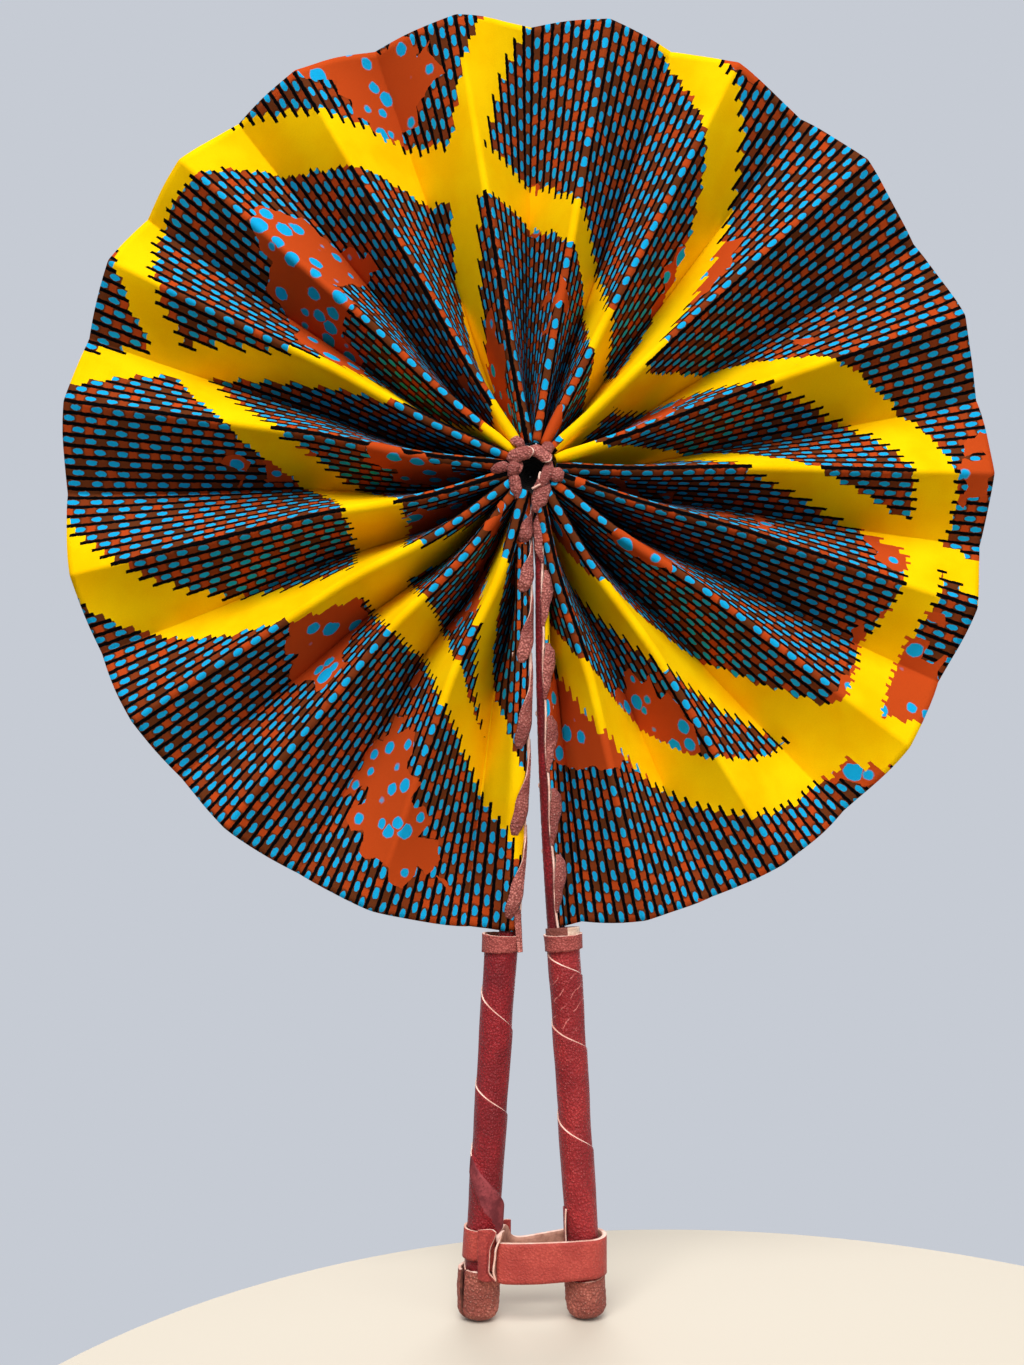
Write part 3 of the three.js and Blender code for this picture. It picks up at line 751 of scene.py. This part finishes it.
def printed_cotton():
    """The cotton print: dark stripes with beads of blue between them, broad wandering yellow
    ribbons with combed edges, and rust patches with blue spots, over a fine plain weave. Sizes
    along the strip are in mm."""
    material = new_finish("printed_cotton", 0.95, specular=0.02)
    black, rust, brown = paint(6, 5, 6), paint(188, 70, 24), paint(88, 46, 22)
    blue, yellow, deep_yellow = paint(20, 164, 216), paint(254, 204, 4), paint(250, 190, 0)
    stripe_pitch, stripe_share = 4.2, 0.345
    bead_half_length, bead_half_width, bead_repeat, bead_power = 2.1, 0.265, 8.1, 2.3
    ribbon_half_width, ribbon_swelling, comb_depth, comb_stray = 9.4, 2.2, 1.8, 2.2
    spot_pitch, patch_size, patch_level = 8.5, 62.5, 0.6375
    thread_pitch, weave_depth = 0.5, 0.00006

    def chance(number):
        """A number from 0 to 1 that is always the same for the same number."""
        return add("TexWhiteNoise", {"W": number}, noise_dimensions="1D")

    strip_uv = add("UVMap", {}, tree=material.node_tree, uv_map="strip")
    in_mm = vector_calc("MULTIPLY", strip_uv, (1000.0, 1000.0, 1000.0))
    stray = noise_at(in_mm, 2.0, 2.0, "Color")
    centred = vector_calc("SUBTRACT", stray, (0.5, 0.5, 0.5))
    drawn = vector_calc("ADD", in_mm, vector_calc("MULTIPLY", centred, (0.9, 1.6, 0.0)))
    split = add("SeparateXYZ", {0: drawn}, None)
    lane, up = calc("DIVIDE", split[0], stripe_pitch), split[1]
    lane_number = calc("FLOOR", lane)
    in_lane = calc("FRACT", lane)
    lane_chance = chance(lane_number)
    lane_middle = times(calc("ADD", lane_number, 0.5), stripe_pitch)
    stripe = ramp(in_lane, stripe_share - 0.03, stripe_share + 0.03, 1.0, 0.0)

    offset = times(lane_number, 0.5, times(lane_chance, 0.3))
    beads = calc("ADD", calc("DIVIDE", up, bead_repeat), offset)
    in_repeat = times(calc("SUBTRACT", calc("FRACT", beads), 0.5), bead_repeat)
    lengthwise = calc("DIVIDE", calc("ABSOLUTE", in_repeat), bead_half_length)
    sideways = calc("ABSOLUTE", calc("SUBTRACT", in_lane, (1 + stripe_share) / 2))
    sideways = calc("DIVIDE", sideways, bead_half_width)
    roundness = calc("ADD", *(calc("POWER", way, bead_power) for way in (lengthwise, sideways)))
    bead = ramp(roundness, 0.8, 1.05, 1.0, 0.0)
    gap_chance = chance(times(lane_number, 37.0, calc("ROUND", beads)))
    shade_of_gap = ramp(gap_chance, 0.1, 0.9, 0.05, 0.95)
    by_bead = ramp(lengthwise, 1.0, 1.4)
    ground = mixed(times(shade_of_gap, by_bead), brown, rust)
    colour = mixed(stripe, mixed(bead, ground, blue), black)

    def ribbon(waves, level, width):
        """Signed distance from a wandering ribbon's edge, less than 0 inside it."""
        middle, slope = level, 0.0
        for height, length, start in waves:
            angle = times(lane_middle, 2 * pi / length, start)
            middle = times(calc("SINE", angle), height, middle)
            slope = times(calc("COSINE", angle), height * 2 * pi / length, slope)
        steep = calc("SQRT", times(slope, slope, 1.0))
        swelling = calc("SINE", times(lane_middle, 0.021, level))
        half = times(steep, times(swelling, ribbon_swelling, width))
        half = times(stripe, -comb_depth, half)
        half = times(lane_chance, comb_stray, half)
        return calc("SUBTRACT", calc("ABSOLUTE", calc("SUBTRACT", up, middle)), half)

    spots = add("TexVoronoi", {"Vector": drawn, "Scale": 1 / spot_pitch, "Randomness": 0.8}, None)
    patch = calc("GREATER_THAN", noise_at(spots["Position"], patch_size, 0.0), patch_level)
    spot_chance = add("SeparateXYZ", {0: spots["Color"]})
    spot_size = times(spot_chance, 0.26, 0.2)
    spot = ramp(calc("SUBTRACT", spots["Distance"], spot_size), -0.03, 0.03, 1.0, 0.0)
    colour = mixed(patch, colour, mixed(spot, rust, blue))

    first = ribbon([(104.0, 352.0, 0.9), (11.0, 131.0, 2.0)], 92.0, ribbon_half_width)
    second = ribbon([(-58.0, 540.0, 0.2), (16.0, 236.0, 0.6)], 104.0, ribbon_half_width - 1.0)
    dye = ramp(noise_at(in_mm, 20.0), 0.35, 0.7)
    on_ribbon = ramp(calc("MINIMUM", first, second), -0.15, 0.15, 1.0, 0.0)
    colour = mixed(on_ribbon, colour, mixed(dye, yellow, deep_yellow))

    threads = add("SeparateXYZ", {0: in_mm}, None)
    ways = [calc("SINE", times(threads[axis], 2 * pi / thread_pitch)) for axis in (0, 1)]
    weave = times(*ways)
    slub = noise_at(in_mm, 0.625, 2.0)
    worn = times(slub, 0.12, times(weave, 0.03))
    height = times(slub, 1.4, weave)
    coat(mixed(worn, colour, black), height, 0.5, weave_depth)
    return material


cotton = printed_cotton()
for side_name, side in sides.items():
    columns = half_leaf(side)
    last_column = len(columns) - 1
    half_way = last_column // 2
    end_length = end_width(side)
    # where each column lies along the flat strip, from the fold at the top
    strip = []
    for panel, share in columns:
        if panel == "end":
            strip.append(side * (half_lengths[side] + end_length * (1 - share)))
        else:
            strip.append(panel_starts[panel] + share * panel_widths[panel])
    turn_shares = {}

    def cloth(x, y):
        panel, share = columns[round(x * last_column)]
        if panel == "end":
            point, turned = end_point(side, share, y), (0.0 if side < 0 else 1.0)
        else:
            point, turned = panel_point(panel, share, y)
        turn_shares[x, y] = turned
        return point

    bm = bmesh.new()
    strip_map = bm.loops.layers.uv.new("strip")
    bake_map = bm.loops.layers.uv.new("OFBake")
    share_of_turn = bm.verts.layers.float.new("share_of_turn")
    bunching = bm.verts.layers.deform.verify()
    flat = bend_grid(bm, cloth, last_column, leaf_rows)
    for vert, place in flat.items():
        vert[share_of_turn] = turn_shares[place]
        spread = smooth(place[1] * strip_width / bunched_reach)
        vert[bunching][0] = lerp(1.0, cloth_thickness / bunched_thickness, spread)
    for face in bm.faces:
        column = min(round(flat[vert][0] * last_column) for vert in face.verts)
        bake_row = 0 if column < half_way else 1
        for loop in face.loops:
            x, y = flat[loop.vert]
            column = round(x * last_column)
            loop[strip_map].uv = (strip[column], y * strip_width)
            bake_x = (column - bake_row * half_way) / (last_column - half_way)
            loop[bake_map].uv = (
                bake_margin + (1 - 2 * bake_margin) * bake_x,
                bake_margin + (0.5 - 2 * bake_margin) * y + 0.5 * bake_row)
    half = made_piece(bm, f"{side_name}_half_of_leaf", [cotton])
    thicken(half, bunched_thickness, 0.0, weights="bunching")
    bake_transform(half)
    whole = folds[pleats - 1] if side < 0 else 1 - folds[pleats + 1]
    numbers = range(1, 10) if side < 0 else range(10, 19)
    covered = [f"pleat_{number:02d}" for number in numbers]
    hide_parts(*covered, f"{side_name}_end_panel", f"{side_name}_hem")


# The stick laces. A flat rose-brown thong is whipped down each stick, through holes in the end of
# the cloth. Each stitch shows in front as a lobe, broad at its hole and drawn thin at the inner
# edge.
lace_thickness = 0.0009
lace_skin = leather(
    "lace_skin", (208, 122, 110), (134, 64, 57), (248, 200, 184), 0.0009, 0.0008, 0.44)
lace_start, lace_end = 0.012, 0.1785
left_holes = (0.0287, 0.0480, 0.0751, 0.1081, 0.1409, 0.1724)
right_holes = (0.0156, 0.0398, 0.0679, 0.0957, 0.1234, 0.1486)
back_holes = {-1: left_holes[2:], 1: right_holes[3:]}
stitch_lap = 0.004
right_lobe_length = 0.0215
lobe_crown = 0.3
rounded_slot = 2
# rows of a share of the stitch and a value: its turn in degrees, its lift and its half width
front_stitch = {
    -1: (
        [(0, -92), (0.3, -64), (0.7, -24), (1, 2)],
        [(0, 0.0010), (0.25, 0.0015), (0.85, 0.0015), (1, 0.0002)],
        [(0, 0.0006), (0.3, 0.0011), (0.72, 0.0027), (0.9, 0.0023), (1, 0.0010)],
    ),
    1: (
        [(0, 44), (0.3, 34), (0.65, 18), (1, 4)],
        [(0, 0.0002), (0.15, 0.0017), (0.75, 0.0016), (1, 0.0012)],
        [(0, 0.0011), (0.14, 0.0023), (0.34, 0.0026), (0.7, 0.0013), (1, 0.0004)],
    ),
}
first_right_turns = [(0, 18), (0.35, -8), (0.7, -20), (1, 5)]
back_turn_ends = {-1: 262, 1: 228}
back_lift_ends = {-1: 0.0008, 1: -0.0004}
edge_half_widths = {-1: 0.0013, 1: 0.0007}
edge_facing_turns = {-1: radians(-90), 1: radians(-78)}
edge_crown = 0.0001
# rows of the left lace's loose end: out from the stick, forward and along it
tail_rows = (
    [(0, -0.0050), (0.5, -0.0062), (1, -0.0071)],
    [(0, 0.0032), (0.5, 0.0042), (1, 0.0046)],
    [(0, 0.1690), (0.5, 0.1780), (1, 0.1846)],
)
tail_facing = Vector((0.5, -1.0, 0))
tail_half_width, tail_taper, tail_crown = 0.0014, 0.0006, 0.0004


def eased(keys, share):
    """A value that eases between rows of (share, value)."""
    for (low, start), (high, end) in zip(keys, keys[1:]):
        if share <= high:
            return lerp(start, end, smooth((share - low) / (high - low)))
    return keys[-1][1]


def thong(bm, spine, facing, half_width, crown, steps, strands, slot=0, rounded=0.0):
    """Lays a flat lace along spine(share), facing(share) outwards, swelling in the middle by crown.
    rounded is the share of its length rounded off its end, which then shows its pale edge."""
    tick = 0.01

    def lay(x, y):
        place = 2 * y - 1
        x -= rounded * x ** 4 * place * place
        ahead = spine(min(x + tick, 1.0)) - spine(max(x - tick, 0.0))
        outward = facing(x).normalized()
        sideways = ahead.cross(outward).normalized()
        swell = crown(x) * (1 - place * place) ** 0.7
        return spine(x) + sideways * (half_width(x) * place) + outward * swell

    flat = bend_grid(bm, lay, steps, strands, slot)
    if rounded:
        for face in faces_of(flat):
            if max(flat[vert][0] for vert in face.verts) > 1 - 0.5 / steps:
                face.material_index = rounded_slot


def off_shank(side, turn, along):
    """The way straight out from the shank."""
    return on_shank(side, turn, 0.004, along) - on_shank(side, turn, 0.0, along)


def stitch(bm, side, rows, start, end):
    """One stitch of lace round a shank, from its rows of turns, lifts and half widths."""
    turns, lifts, widths = rows

    def spine(x):
        return on_shank(side, radians(eased(turns, x)), eased(lifts, x), lerp(start, end, x))

    def facing(x):
        return off_shank(side, radians(eased(turns, x)), lerp(start, end, x))

    thong(
        bm, spine, facing, lambda x: eased(widths, x), lambda x: lobe_crown * eased(widths, x),
        steps=26, strands=8)


for side_name, side in sides.items():
    def edge_run(x):
        """The lace seen on edge along the inner side, where it passes from stitch to stitch."""
        along = lerp(lace_start, lace_end, x)
        wave = sin(along * 210 + side)
        if side > 0:
            return on_shank(side, radians(2 + 4 * wave), 0.0009, along)
        return on_shank(side, radians(-84 + 10 * wave), lerp(0.0015, 0.0007, smooth(x * 2)), along)

    def edge_facing(x):
        return off_shank(side, edge_facing_turns[side], lerp(lace_start, lace_end, x))

    bm = bmesh.new()
    if side < 0:
        starts = [lace_start, *(hole - stitch_lap for hole in left_holes)]
        for start, hole in zip(starts, left_holes):
            stitch(bm, side, front_stitch[side], start, hole)
    else:
        for hole in right_holes:
            turns, lifts, widths = front_stitch[side]
            rows = (first_right_turns if hole == right_holes[0] else turns, lifts, widths)
            stitch(bm, side, rows, hole, hole + right_lobe_length)
    back_stitch = (
        [(0, 122), (1, back_turn_ends[side])],
        [(0, 0.0006), (0.2, 0.0009), (0.8, 0.0009), (1, back_lift_ends[side])],
        [(0, 0.0012), (0.5, 0.002), (1, 0.0008)],
    )
    for hole in back_holes[side]:
        stitch(bm, side, back_stitch, hole - stitch_lap, hole)
    thong(
        bm, edge_run, edge_facing, lambda x: edge_half_widths[side], lambda x: edge_crown,
        steps=130, strands=4)
    if side < 0:
        def tail(x):
            return beside_stick(side, *(eased(row, x) for row in tail_rows))

        thong(
            bm, tail, lambda x: tail_facing, lambda x: tail_half_width - tail_taper * x,
            lambda x: tail_crown, steps=24, strands=6)
    lace = made_piece(bm, f"{side_name}_stick_lacing", [lace_skin, lace_skin, cut_edge])
    thicken(lace, lace_thickness, 0.0, inner_slot=1, edge_slot=2)
    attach(lace, f"{side_name}_handle")
    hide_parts(f"{side_name}_lace")


# The eye lacing. The same thong is whipped round the eye over the ends of the folds. It makes a
# twisted wreath of plump lobes, and short stitches stick out between the folds.
wreath_lobes = (
    # x and z from the eye at the start, the bend and the end, half width, depth in front at the
    # start and the end, bulge: in mm. The last value is the share rounded off an end that shows.
    (-8.2, 11.0, -5.8, 9.6, -3.4, 7.6, 1.8, 6.0, 7.0, 1.1, 0.0),
    (7.0, 9.4, 5.8, 7.2, 4.2, 5.2, 2.2, 6.2, 7.2, 1.2, 0.0),
    (-15.8, -1.7, -12.0, -0.1, -8.8, 0.3, 1.9, 5.8, 6.8, 1.1, 0.0),
    (12.0, -3.0, 9.0, -3.2, 6.2, -3.4, 2.6, 6.4, 6.8, 1.2, 0.0),
    (-4.7, 1.8, -4.5, -0.6, -5.9, -2.8, 0.8, 6.4, 6.6, 0.5, 0.0),
    (-7.6, -2.6, -6.7, -7.0, -5.7, -12.2, 2.1, 7.0, 6.0, 1.1, 0.0),
    (-6.3, 2.4, -7.2, -0.8, -8.9, -4.0, 1.9, 6.8, 7.4, 1.1, 0.0),
    (4.6, -5.0, 3.8, -10.0, 0.8, -17.4, 3.0, 6.4, 5.6, 1.3, 0.0),
    (6.3, 2.2, 6.3, -4.4, 0.6, -8.8, 2.0, 6.8, 7.6, 1.0, 0.0),
    (-1.6, 6.6, 3.6, 6.2, 6.3, 1.4, 2.3, 6.8, 7.8, 1.1, 0.16),
    (-9.4, 2.2, -5.8, 5.0, 0.4, 5.4, 2.5, 6.8, 8.2, 1.2, 0.2),
)
wreath_edges = (
    # turned edges of the thong that show as pale lines: x, z and depth in front of the eye, in mm
    ((2.9, -2.4, 7.9), (1.6, -4.4, 8.3), (3.0, -6.4, 7.9)),
    ((6.2, -4.7, 7.7), (3.4, -7.0, 8.6), (-0.4, -8.9, 7.9)),
)
wreath_scale = 0.001
wreath_thickness = 0.0006
lobe_tuck = 0.0016
turned_edge_half_width = 0.0002
shown_end_share, tucked_end_share = 0.92, 0.42


def forward_face(x):
    return Vector((0, -1, 0))


def bent(start, bend, end, share):
    """A smooth curve that leaves start towards bend and comes from bend into end."""
    return start * (1 - share) ** 2 + bend * (2 * share * (1 - share)) + end * share ** 2


bm = bmesh.new()
for *measures, rounded in wreath_lobes:
    start_x, start_z, bend_x, bend_z, end_x, end_z, wide, start_depth, end_depth, bulge = (
        value * wreath_scale for value in measures)
    corners = (
        eye + Vector((start_x, -start_depth, start_z)),
        eye + Vector((bend_x, -(start_depth + end_depth) / 2 - 0.4 * bulge, bend_z)),
        eye + Vector((end_x, -end_depth, end_z)),
    )

    def lobe_spine(x):
        tuck = lobe_tuck * clamp(1 - 3 * x) ** 2
        if not rounded:
            tuck += lobe_tuck * clamp(3 * x - 2) ** 2
        return bent(*corners, x) + Vector((0, tuck, 0))

    def lobe_width(x):
        end_share = shown_end_share if rounded else tucked_end_share
        return wide * eased([(0, 0.6), (0.3, 1.0), (0.66, 1.0), (1, end_share)], x)

    thong(
        bm, lobe_spine, forward_face, lobe_width, lambda x: bulge,
        steps=24, strands=10, rounded=rounded)
for points in wreath_edges:
    corners = [eye + wreath_scale * Vector((x, -depth, z)) for x, z, depth in points]
    thong(
        bm, lambda x: bent(*corners, x), forward_face, lambda x: turned_edge_half_width,
        lambda x: edge_crown, steps=16, strands=4, slot=rounded_slot)
wreath = made_piece(bm, "eye_wreath", [lace_skin, lace_skin, cut_edge])
thicken(wreath, wreath_thickness, 0.0, edge_slot=2)
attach(wreath, "left_handle")
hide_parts("hub_lace")


# The gather cord. A two-ply black waxed thread runs through the inner ends of the folds behind the
# wreath and draws them together. A flat coil of the same thread closes the eye: a dark piece that
# stands in for the shade inside the eye.
cord_radius = 0.0008
cord_clearance = 0.0003
cord_ring = eye_radius - cord_clearance - cord_radius
cord_depth = 0.008
cord_half_angle = radians(140)
cord_twists = 26
coil_turns = 9
coil_twists = 4 * cord_twists
coil_outer, coil_inner = cord_ring + 0.0011, 0.4 * cord_radius
coil_front, coil_back = 0.0004, 0.0125
fibre_size = 0.0004
fibre_depth = 0.0001
thread = new_finish("waxed_thread", 0.7)
fibres = noise_at(on_object(thread), fibre_size, 5.0)
tone = mixed(ramp(fibres, 0.35, 0.65), paint(14, 12, 12), paint(34, 28, 26))
coat(tone, fibres, 0.6, fibre_depth)


def two_ply(x, bearing, ring, depth, twist):
    """A point of the thread round the eye: x is the share of the way round its own section."""
    turn = 2 * pi * x
    ply = cord_radius * (0.8 + 0.2 * abs(cos(turn + twist)))
    reach = ring + ply * cos(turn)
    return eye + Vector((
        reach * sin(bearing), depth + ply * sin(turn), reach * cos(bearing)))


def drawn_thread(x, y):
    bearing = lerp(-cord_half_angle, cord_half_angle, y)
    return two_ply(x, bearing, cord_ring, cord_depth, cord_twists * pi * y)


# the coil that closes the eye, a dark piece standing in for the shade there
def eye_shade_coil(x, y):
    bearing = cord_half_angle + 2 * pi * coil_turns * y
    depth = lerp(coil_front, coil_back, y)
    return two_ply(x, bearing, lerp(coil_outer, coil_inner, y), depth, coil_twists * pi * y)


bm = bmesh.new()
bend_grid(bm, drawn_thread, columns=12, rows=260)
bend_grid(bm, eye_shade_coil, columns=12, rows=540)
bmesh.ops.remove_doubles(bm, verts=bm.verts, dist=1e-6)
bmesh.ops.holes_fill(bm, edges=[edge for edge in bm.edges if edge.is_boundary], sides=0)
gather = made_piece(bm, "gather_thread", [thread], turn_out=True)
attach(gather, "left_handle")
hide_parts("gather_cord")


# The strap. One strip of terracotta leather loops the left handle, passes through its own slit and
# round the right handle. Its outside is smooth, its flesh side rough and pale, its edges raw.
strap_height = 0.0146
strap_thickness = 0.0016
strap_sway, sway_waves = 0.0002, 120
strap_clearance = 0.0003
left_loop_height = 0.0108
left_loop_rise = 0.0054
left_loop_slack = 0.0003
left_loop_thickness = 0.0009
right_loop_rise = 0.0004
right_loop_slack = 0.0007
right_loop_height = strap_height - 0.0006
strap_rows = 10
curve_steps = 24
tip_slot = 3
strap_low = eye.z - cap_tops["right"] * cos(splay) + cap_radius * sin(splay) + strap_clearance
strap_middle = strap_low + strap_height / 2
handle_reach = stick_offset + (eye.z - strap_middle) * tan(splay)
right_loop_radius = grip_radius + right_loop_slack + strap_height / 2 * tan(splay)
right_loop_radius += strap_thickness / 2
left_loop_radius = grip_radius + left_loop_slack + left_loop_thickness / 2
# points of the band: x and y, how far its middle lies above the strap's, and its height
front_run = [
    (-0.0108, 0.0012, 0.0048, 0.0120), (-0.0126, -0.0034, 0.0034, 0.0124),
    (-0.0131, -0.0074, 0.0010, 0.0136), (-0.0110, -0.0093, 0.0, strap_height),
    (0.0030, -0.0097, 0.0, strap_height),
]
back_run = [
    (0.0060, 0.0074, -0.0012, 0.0136), (-0.0040, 0.0066, -0.0020, 0.0128),
    (-0.0078, 0.0058, -0.0006, 0.0124), (-0.0096, 0.0042, 0.0030, 0.0120),
    (-0.0108, 0.0012, 0.0048, 0.0120),
]
left_start = [(-0.0132, 0.0062, left_loop_rise, left_loop_height)]
left_end = [(-0.0172, -0.0080, 0.0036, 0.0130), (-0.0146, -0.0074, 0.0034, 0.0140)]
tip = [
    (-0.0128, 0.0016, 0.0056, 0.0084), (-0.0108, 0.0056, 0.0060, 0.0100),
    (-0.0080, 0.0068, 0.0056, 0.0104),
]
strap_skin = leather(
    "strap_skin", (189, 77, 65), (163, 58, 50), (210, 110, 96), 0.0009, 0.0004, 0.5, 0.8)
# the strap's own leather painted darker, a painted shade for the slit lips and the tip of the strap
shaded_strap_skin = leather(
    "shaded_strap_skin", (172, 64, 56), (132, 42, 40), (200, 98, 86), 0.0009, 0.0003, 0.55, 0.7)


def smooth_way(points, steps):
    """Evenly spaced places on a smooth curve through points of any number of values."""
    dense = []
    padded = [points[0], *points, points[-1]]
    for corners in zip(padded, padded[1:], padded[2:], padded[3:]):
        for step in range(curve_steps):
            t = step / curve_steps
            dense.append([
                0.5 * (2 * b + (c - a) * t + (2 * a - 5 * b + 4 * c - d) * t ** 2
                       + (3 * b - a - 3 * c + d) * t ** 3)
                for a, b, c, d in zip(*corners)
            ])
    dense.append(list(points[-1]))
    lengths = [0.0]
    for a, b in zip(dense, dense[1:]):
        lengths.append(lengths[-1] + dist(a, b))
    places, at = [], 0
    for step in range(steps + 1):
        wanted = lengths[-1] * step / steps
        while at < len(lengths) - 2 and lengths[at + 1] < wanted:
            at += 1
        share = (wanted - lengths[at]) / max(lengths[at + 1] - lengths[at], 1e-9)
        places.append([lerp(a, b, share) for a, b in zip(dense[at], dense[at + 1])])
    return places


def band(bm, points, steps, slot=0, lean=0.0, thickness=strap_thickness):
    """A standing band of leather along its points. lean is how far it tips to the right for its
    height."""
    way = smooth_way(points, steps)

    def stand(x, y):
        plan_x, plan_y, rise, height = way[round(x * steps)]
        sway = strap_sway * waver(plan_x * sway_waves, plan_y * sway_waves, y)
        up = (y - 0.5) * height
        return Vector((plan_x + lean * up, plan_y + sway, strap_middle + rise + up))

    for vert in bend_grid(bm, stand, steps, strap_rows, slot):
        vert[bm.verts.layers.deform.active][0] = thickness / strap_thickness


def round_handle(side, start, end, count, rise, height, loop):
    """Points round one handle at a loop radius, by angles from the right, towards the back."""
    points = []
    for number in range(count + 1):
        angle = radians(lerp(start, end, number / count))
        handle_x = side * (handle_reach - rise * tan(splay))
        points.append((handle_x + loop * cos(angle), loop * sin(angle), rise, height))
    return points


bm = bmesh.new()
bm.verts.layers.deform.verify()
right_loop = round_handle(1, -90, 90, 10, right_loop_rise, right_loop_height, right_loop_radius)
left_loop = round_handle(-1, 70, 258, 12, left_loop_rise, left_loop_height, left_loop_radius)
band(bm, front_run + right_loop + back_run, steps=190)
band(
    bm, left_start + left_loop + left_end, steps=120,
    lean=tan(splay), thickness=left_loop_thickness)
band(bm, tip, steps=16, slot=tip_slot, thickness=left_loop_thickness)
strap_skins = [strap_skin, flesh_side, cut_edge, shaded_strap_skin, shaded_strap_skin, cut_edge]
strap = made_piece(bm, "leather_strap", strap_skins)
thicken(strap, strap_thickness, 0.0, inner_slot=1, edge_slot=2, weights="pared_thin")
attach(strap, "strap")
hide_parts("strap")


# The strap keeper. The broad end of the strap is slit, and the lips of the slit curl up where the
# other end is pulled through, which holds the loop shut.
tab_left = -0.0206
tab_rise = 0.0030
tab_height = 0.0178
tab_forward = 0.0086
tab_bulge = 0.0011
tab_curl = 0.0017
tab_pinch = 0.0006
back_lip_rise = tab_rise - 0.0004
back_lip_height = tab_height - 0.0006
back_lip_from, back_lip_to = 0.0070, 0.0109
back_lip_curl = 0.0012
first_lip = [(0, -0.0134), (0.4, -0.0157), (0.8, -0.0160), (1, -0.0136)]
second_lip = [(0, -0.0122), (0.4, -0.0143), (0.8, -0.0150), (1, -0.0142)]
lip_thickness = 0.0007


def tab(x, y):
    """x runs from the left edge to the first lip, y from the top to the bottom."""
    curl = smooth((x - 0.72) / 0.28)
    forward = tab_forward + tab_bulge * sin(pi * min(x, 0.8)) + tab_curl * curl
    rise = tab_rise + tab_height * (0.5 - y) - tab_pinch * sin(pi * x) * (2 * y - 1)
    across = lerp(tab_left, eased(first_lip, y), x) - tab_pinch * curl
    return Vector((across, -forward, strap_middle + rise))


def back_lip(x, y):
    across = eased(second_lip, y) + back_lip_curl * (1 - x) ** 2
    rise = back_lip_rise + back_lip_height * (0.5 - y)
    return Vector((across, -lerp(back_lip_from, back_lip_to, x), strap_middle + rise))


bm = bmesh.new()
bend_grid(bm, tab, columns=20, rows=30)
bend_grid(bm, back_lip, columns=10, rows=30)
bmesh.ops.reverse_faces(bm, faces=bm.faces)
# the lips take the darker copy of the strap leather, a painted shade
keeper = made_piece(bm, "strap_slit_lips", [shaded_strap_skin, flesh_side, cut_edge])
thicken(keeper, lip_thickness, 0.0, inner_slot=1, edge_slot=2)
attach(keeper, "strap")
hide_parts("strap_keeper")


# The floor and the light. A plain pale round table top carries the feet. The light is soft and
# comes from above and in front, so that the upper faces of the folds are bright and the lower dim.
table_radius = 0.25
table_centre = (0.054, -0.154)
table_drop = 0.0002
dark_sky, bright_sky = (0.02, 0.02, 0.02, 1.0), (0.60, 0.61, 0.62, 1.0)
bm = bmesh.new()
bmesh.ops.create_circle(bm, cap_ends=True, segments=128, radius=table_radius)
bmesh.ops.translate(bm, verts=bm.verts, vec=(*table_centre, cad_box[0].z - table_drop))
table_finish = new_finish("pale_table", 0.75)
table_sockets = table_finish.node_tree.nodes["Principled BSDF"].inputs
table_sockets["Base Color"].default_value = paint(204, 194, 178)
floor = made_piece(bm, "floor", [table_finish])

world = bpy.data.worlds.new("soft_daylight")
bpy.context.scene.world = world
world.use_nodes = True
tree = world.node_tree
height = add("SeparateXYZ", {0: add("TexCoord", {}, "Generated", tree)}, 2)
sky = mixed(ramp(height, -0.3, 1.0), dark_sky, bright_sky)
seen = add("LightPath", {}, None, tree)
shown = calc("MAXIMUM", seen["Is Camera Ray"], seen["Is Transmission Ray"])
shown = calc("MAXIMUM", shown, seen["Is Glossy Ray"])
backdrop = mixed(shown, sky, paint(198, 203, 212))
tree.links.new(backdrop, tree.nodes["Background"].inputs["Color"])

for name, place, size, power in (
    ("key_light", Vector((-0.25, -1.05, 1.45)), 1.1, 35.0),
    ("fill_light", Vector((0.9, -1.3, 0.5)), 1.2, 7.0),
    ("back_light", Vector((0.2, 1.5, 0.55)), 1.4, 20.0),
):
    lamp_data = bpy.data.lights.new(name, "AREA")
    lamp_data.size = size
    lamp_data.energy = power
    lamp = bpy.data.objects.new(name, lamp_data)
    lamp.location = place
    lamp.rotation_euler = (eye - place).to_track_quat("-Z", "Y").to_euler()
    bpy.context.scene.collection.objects.link(lamp)
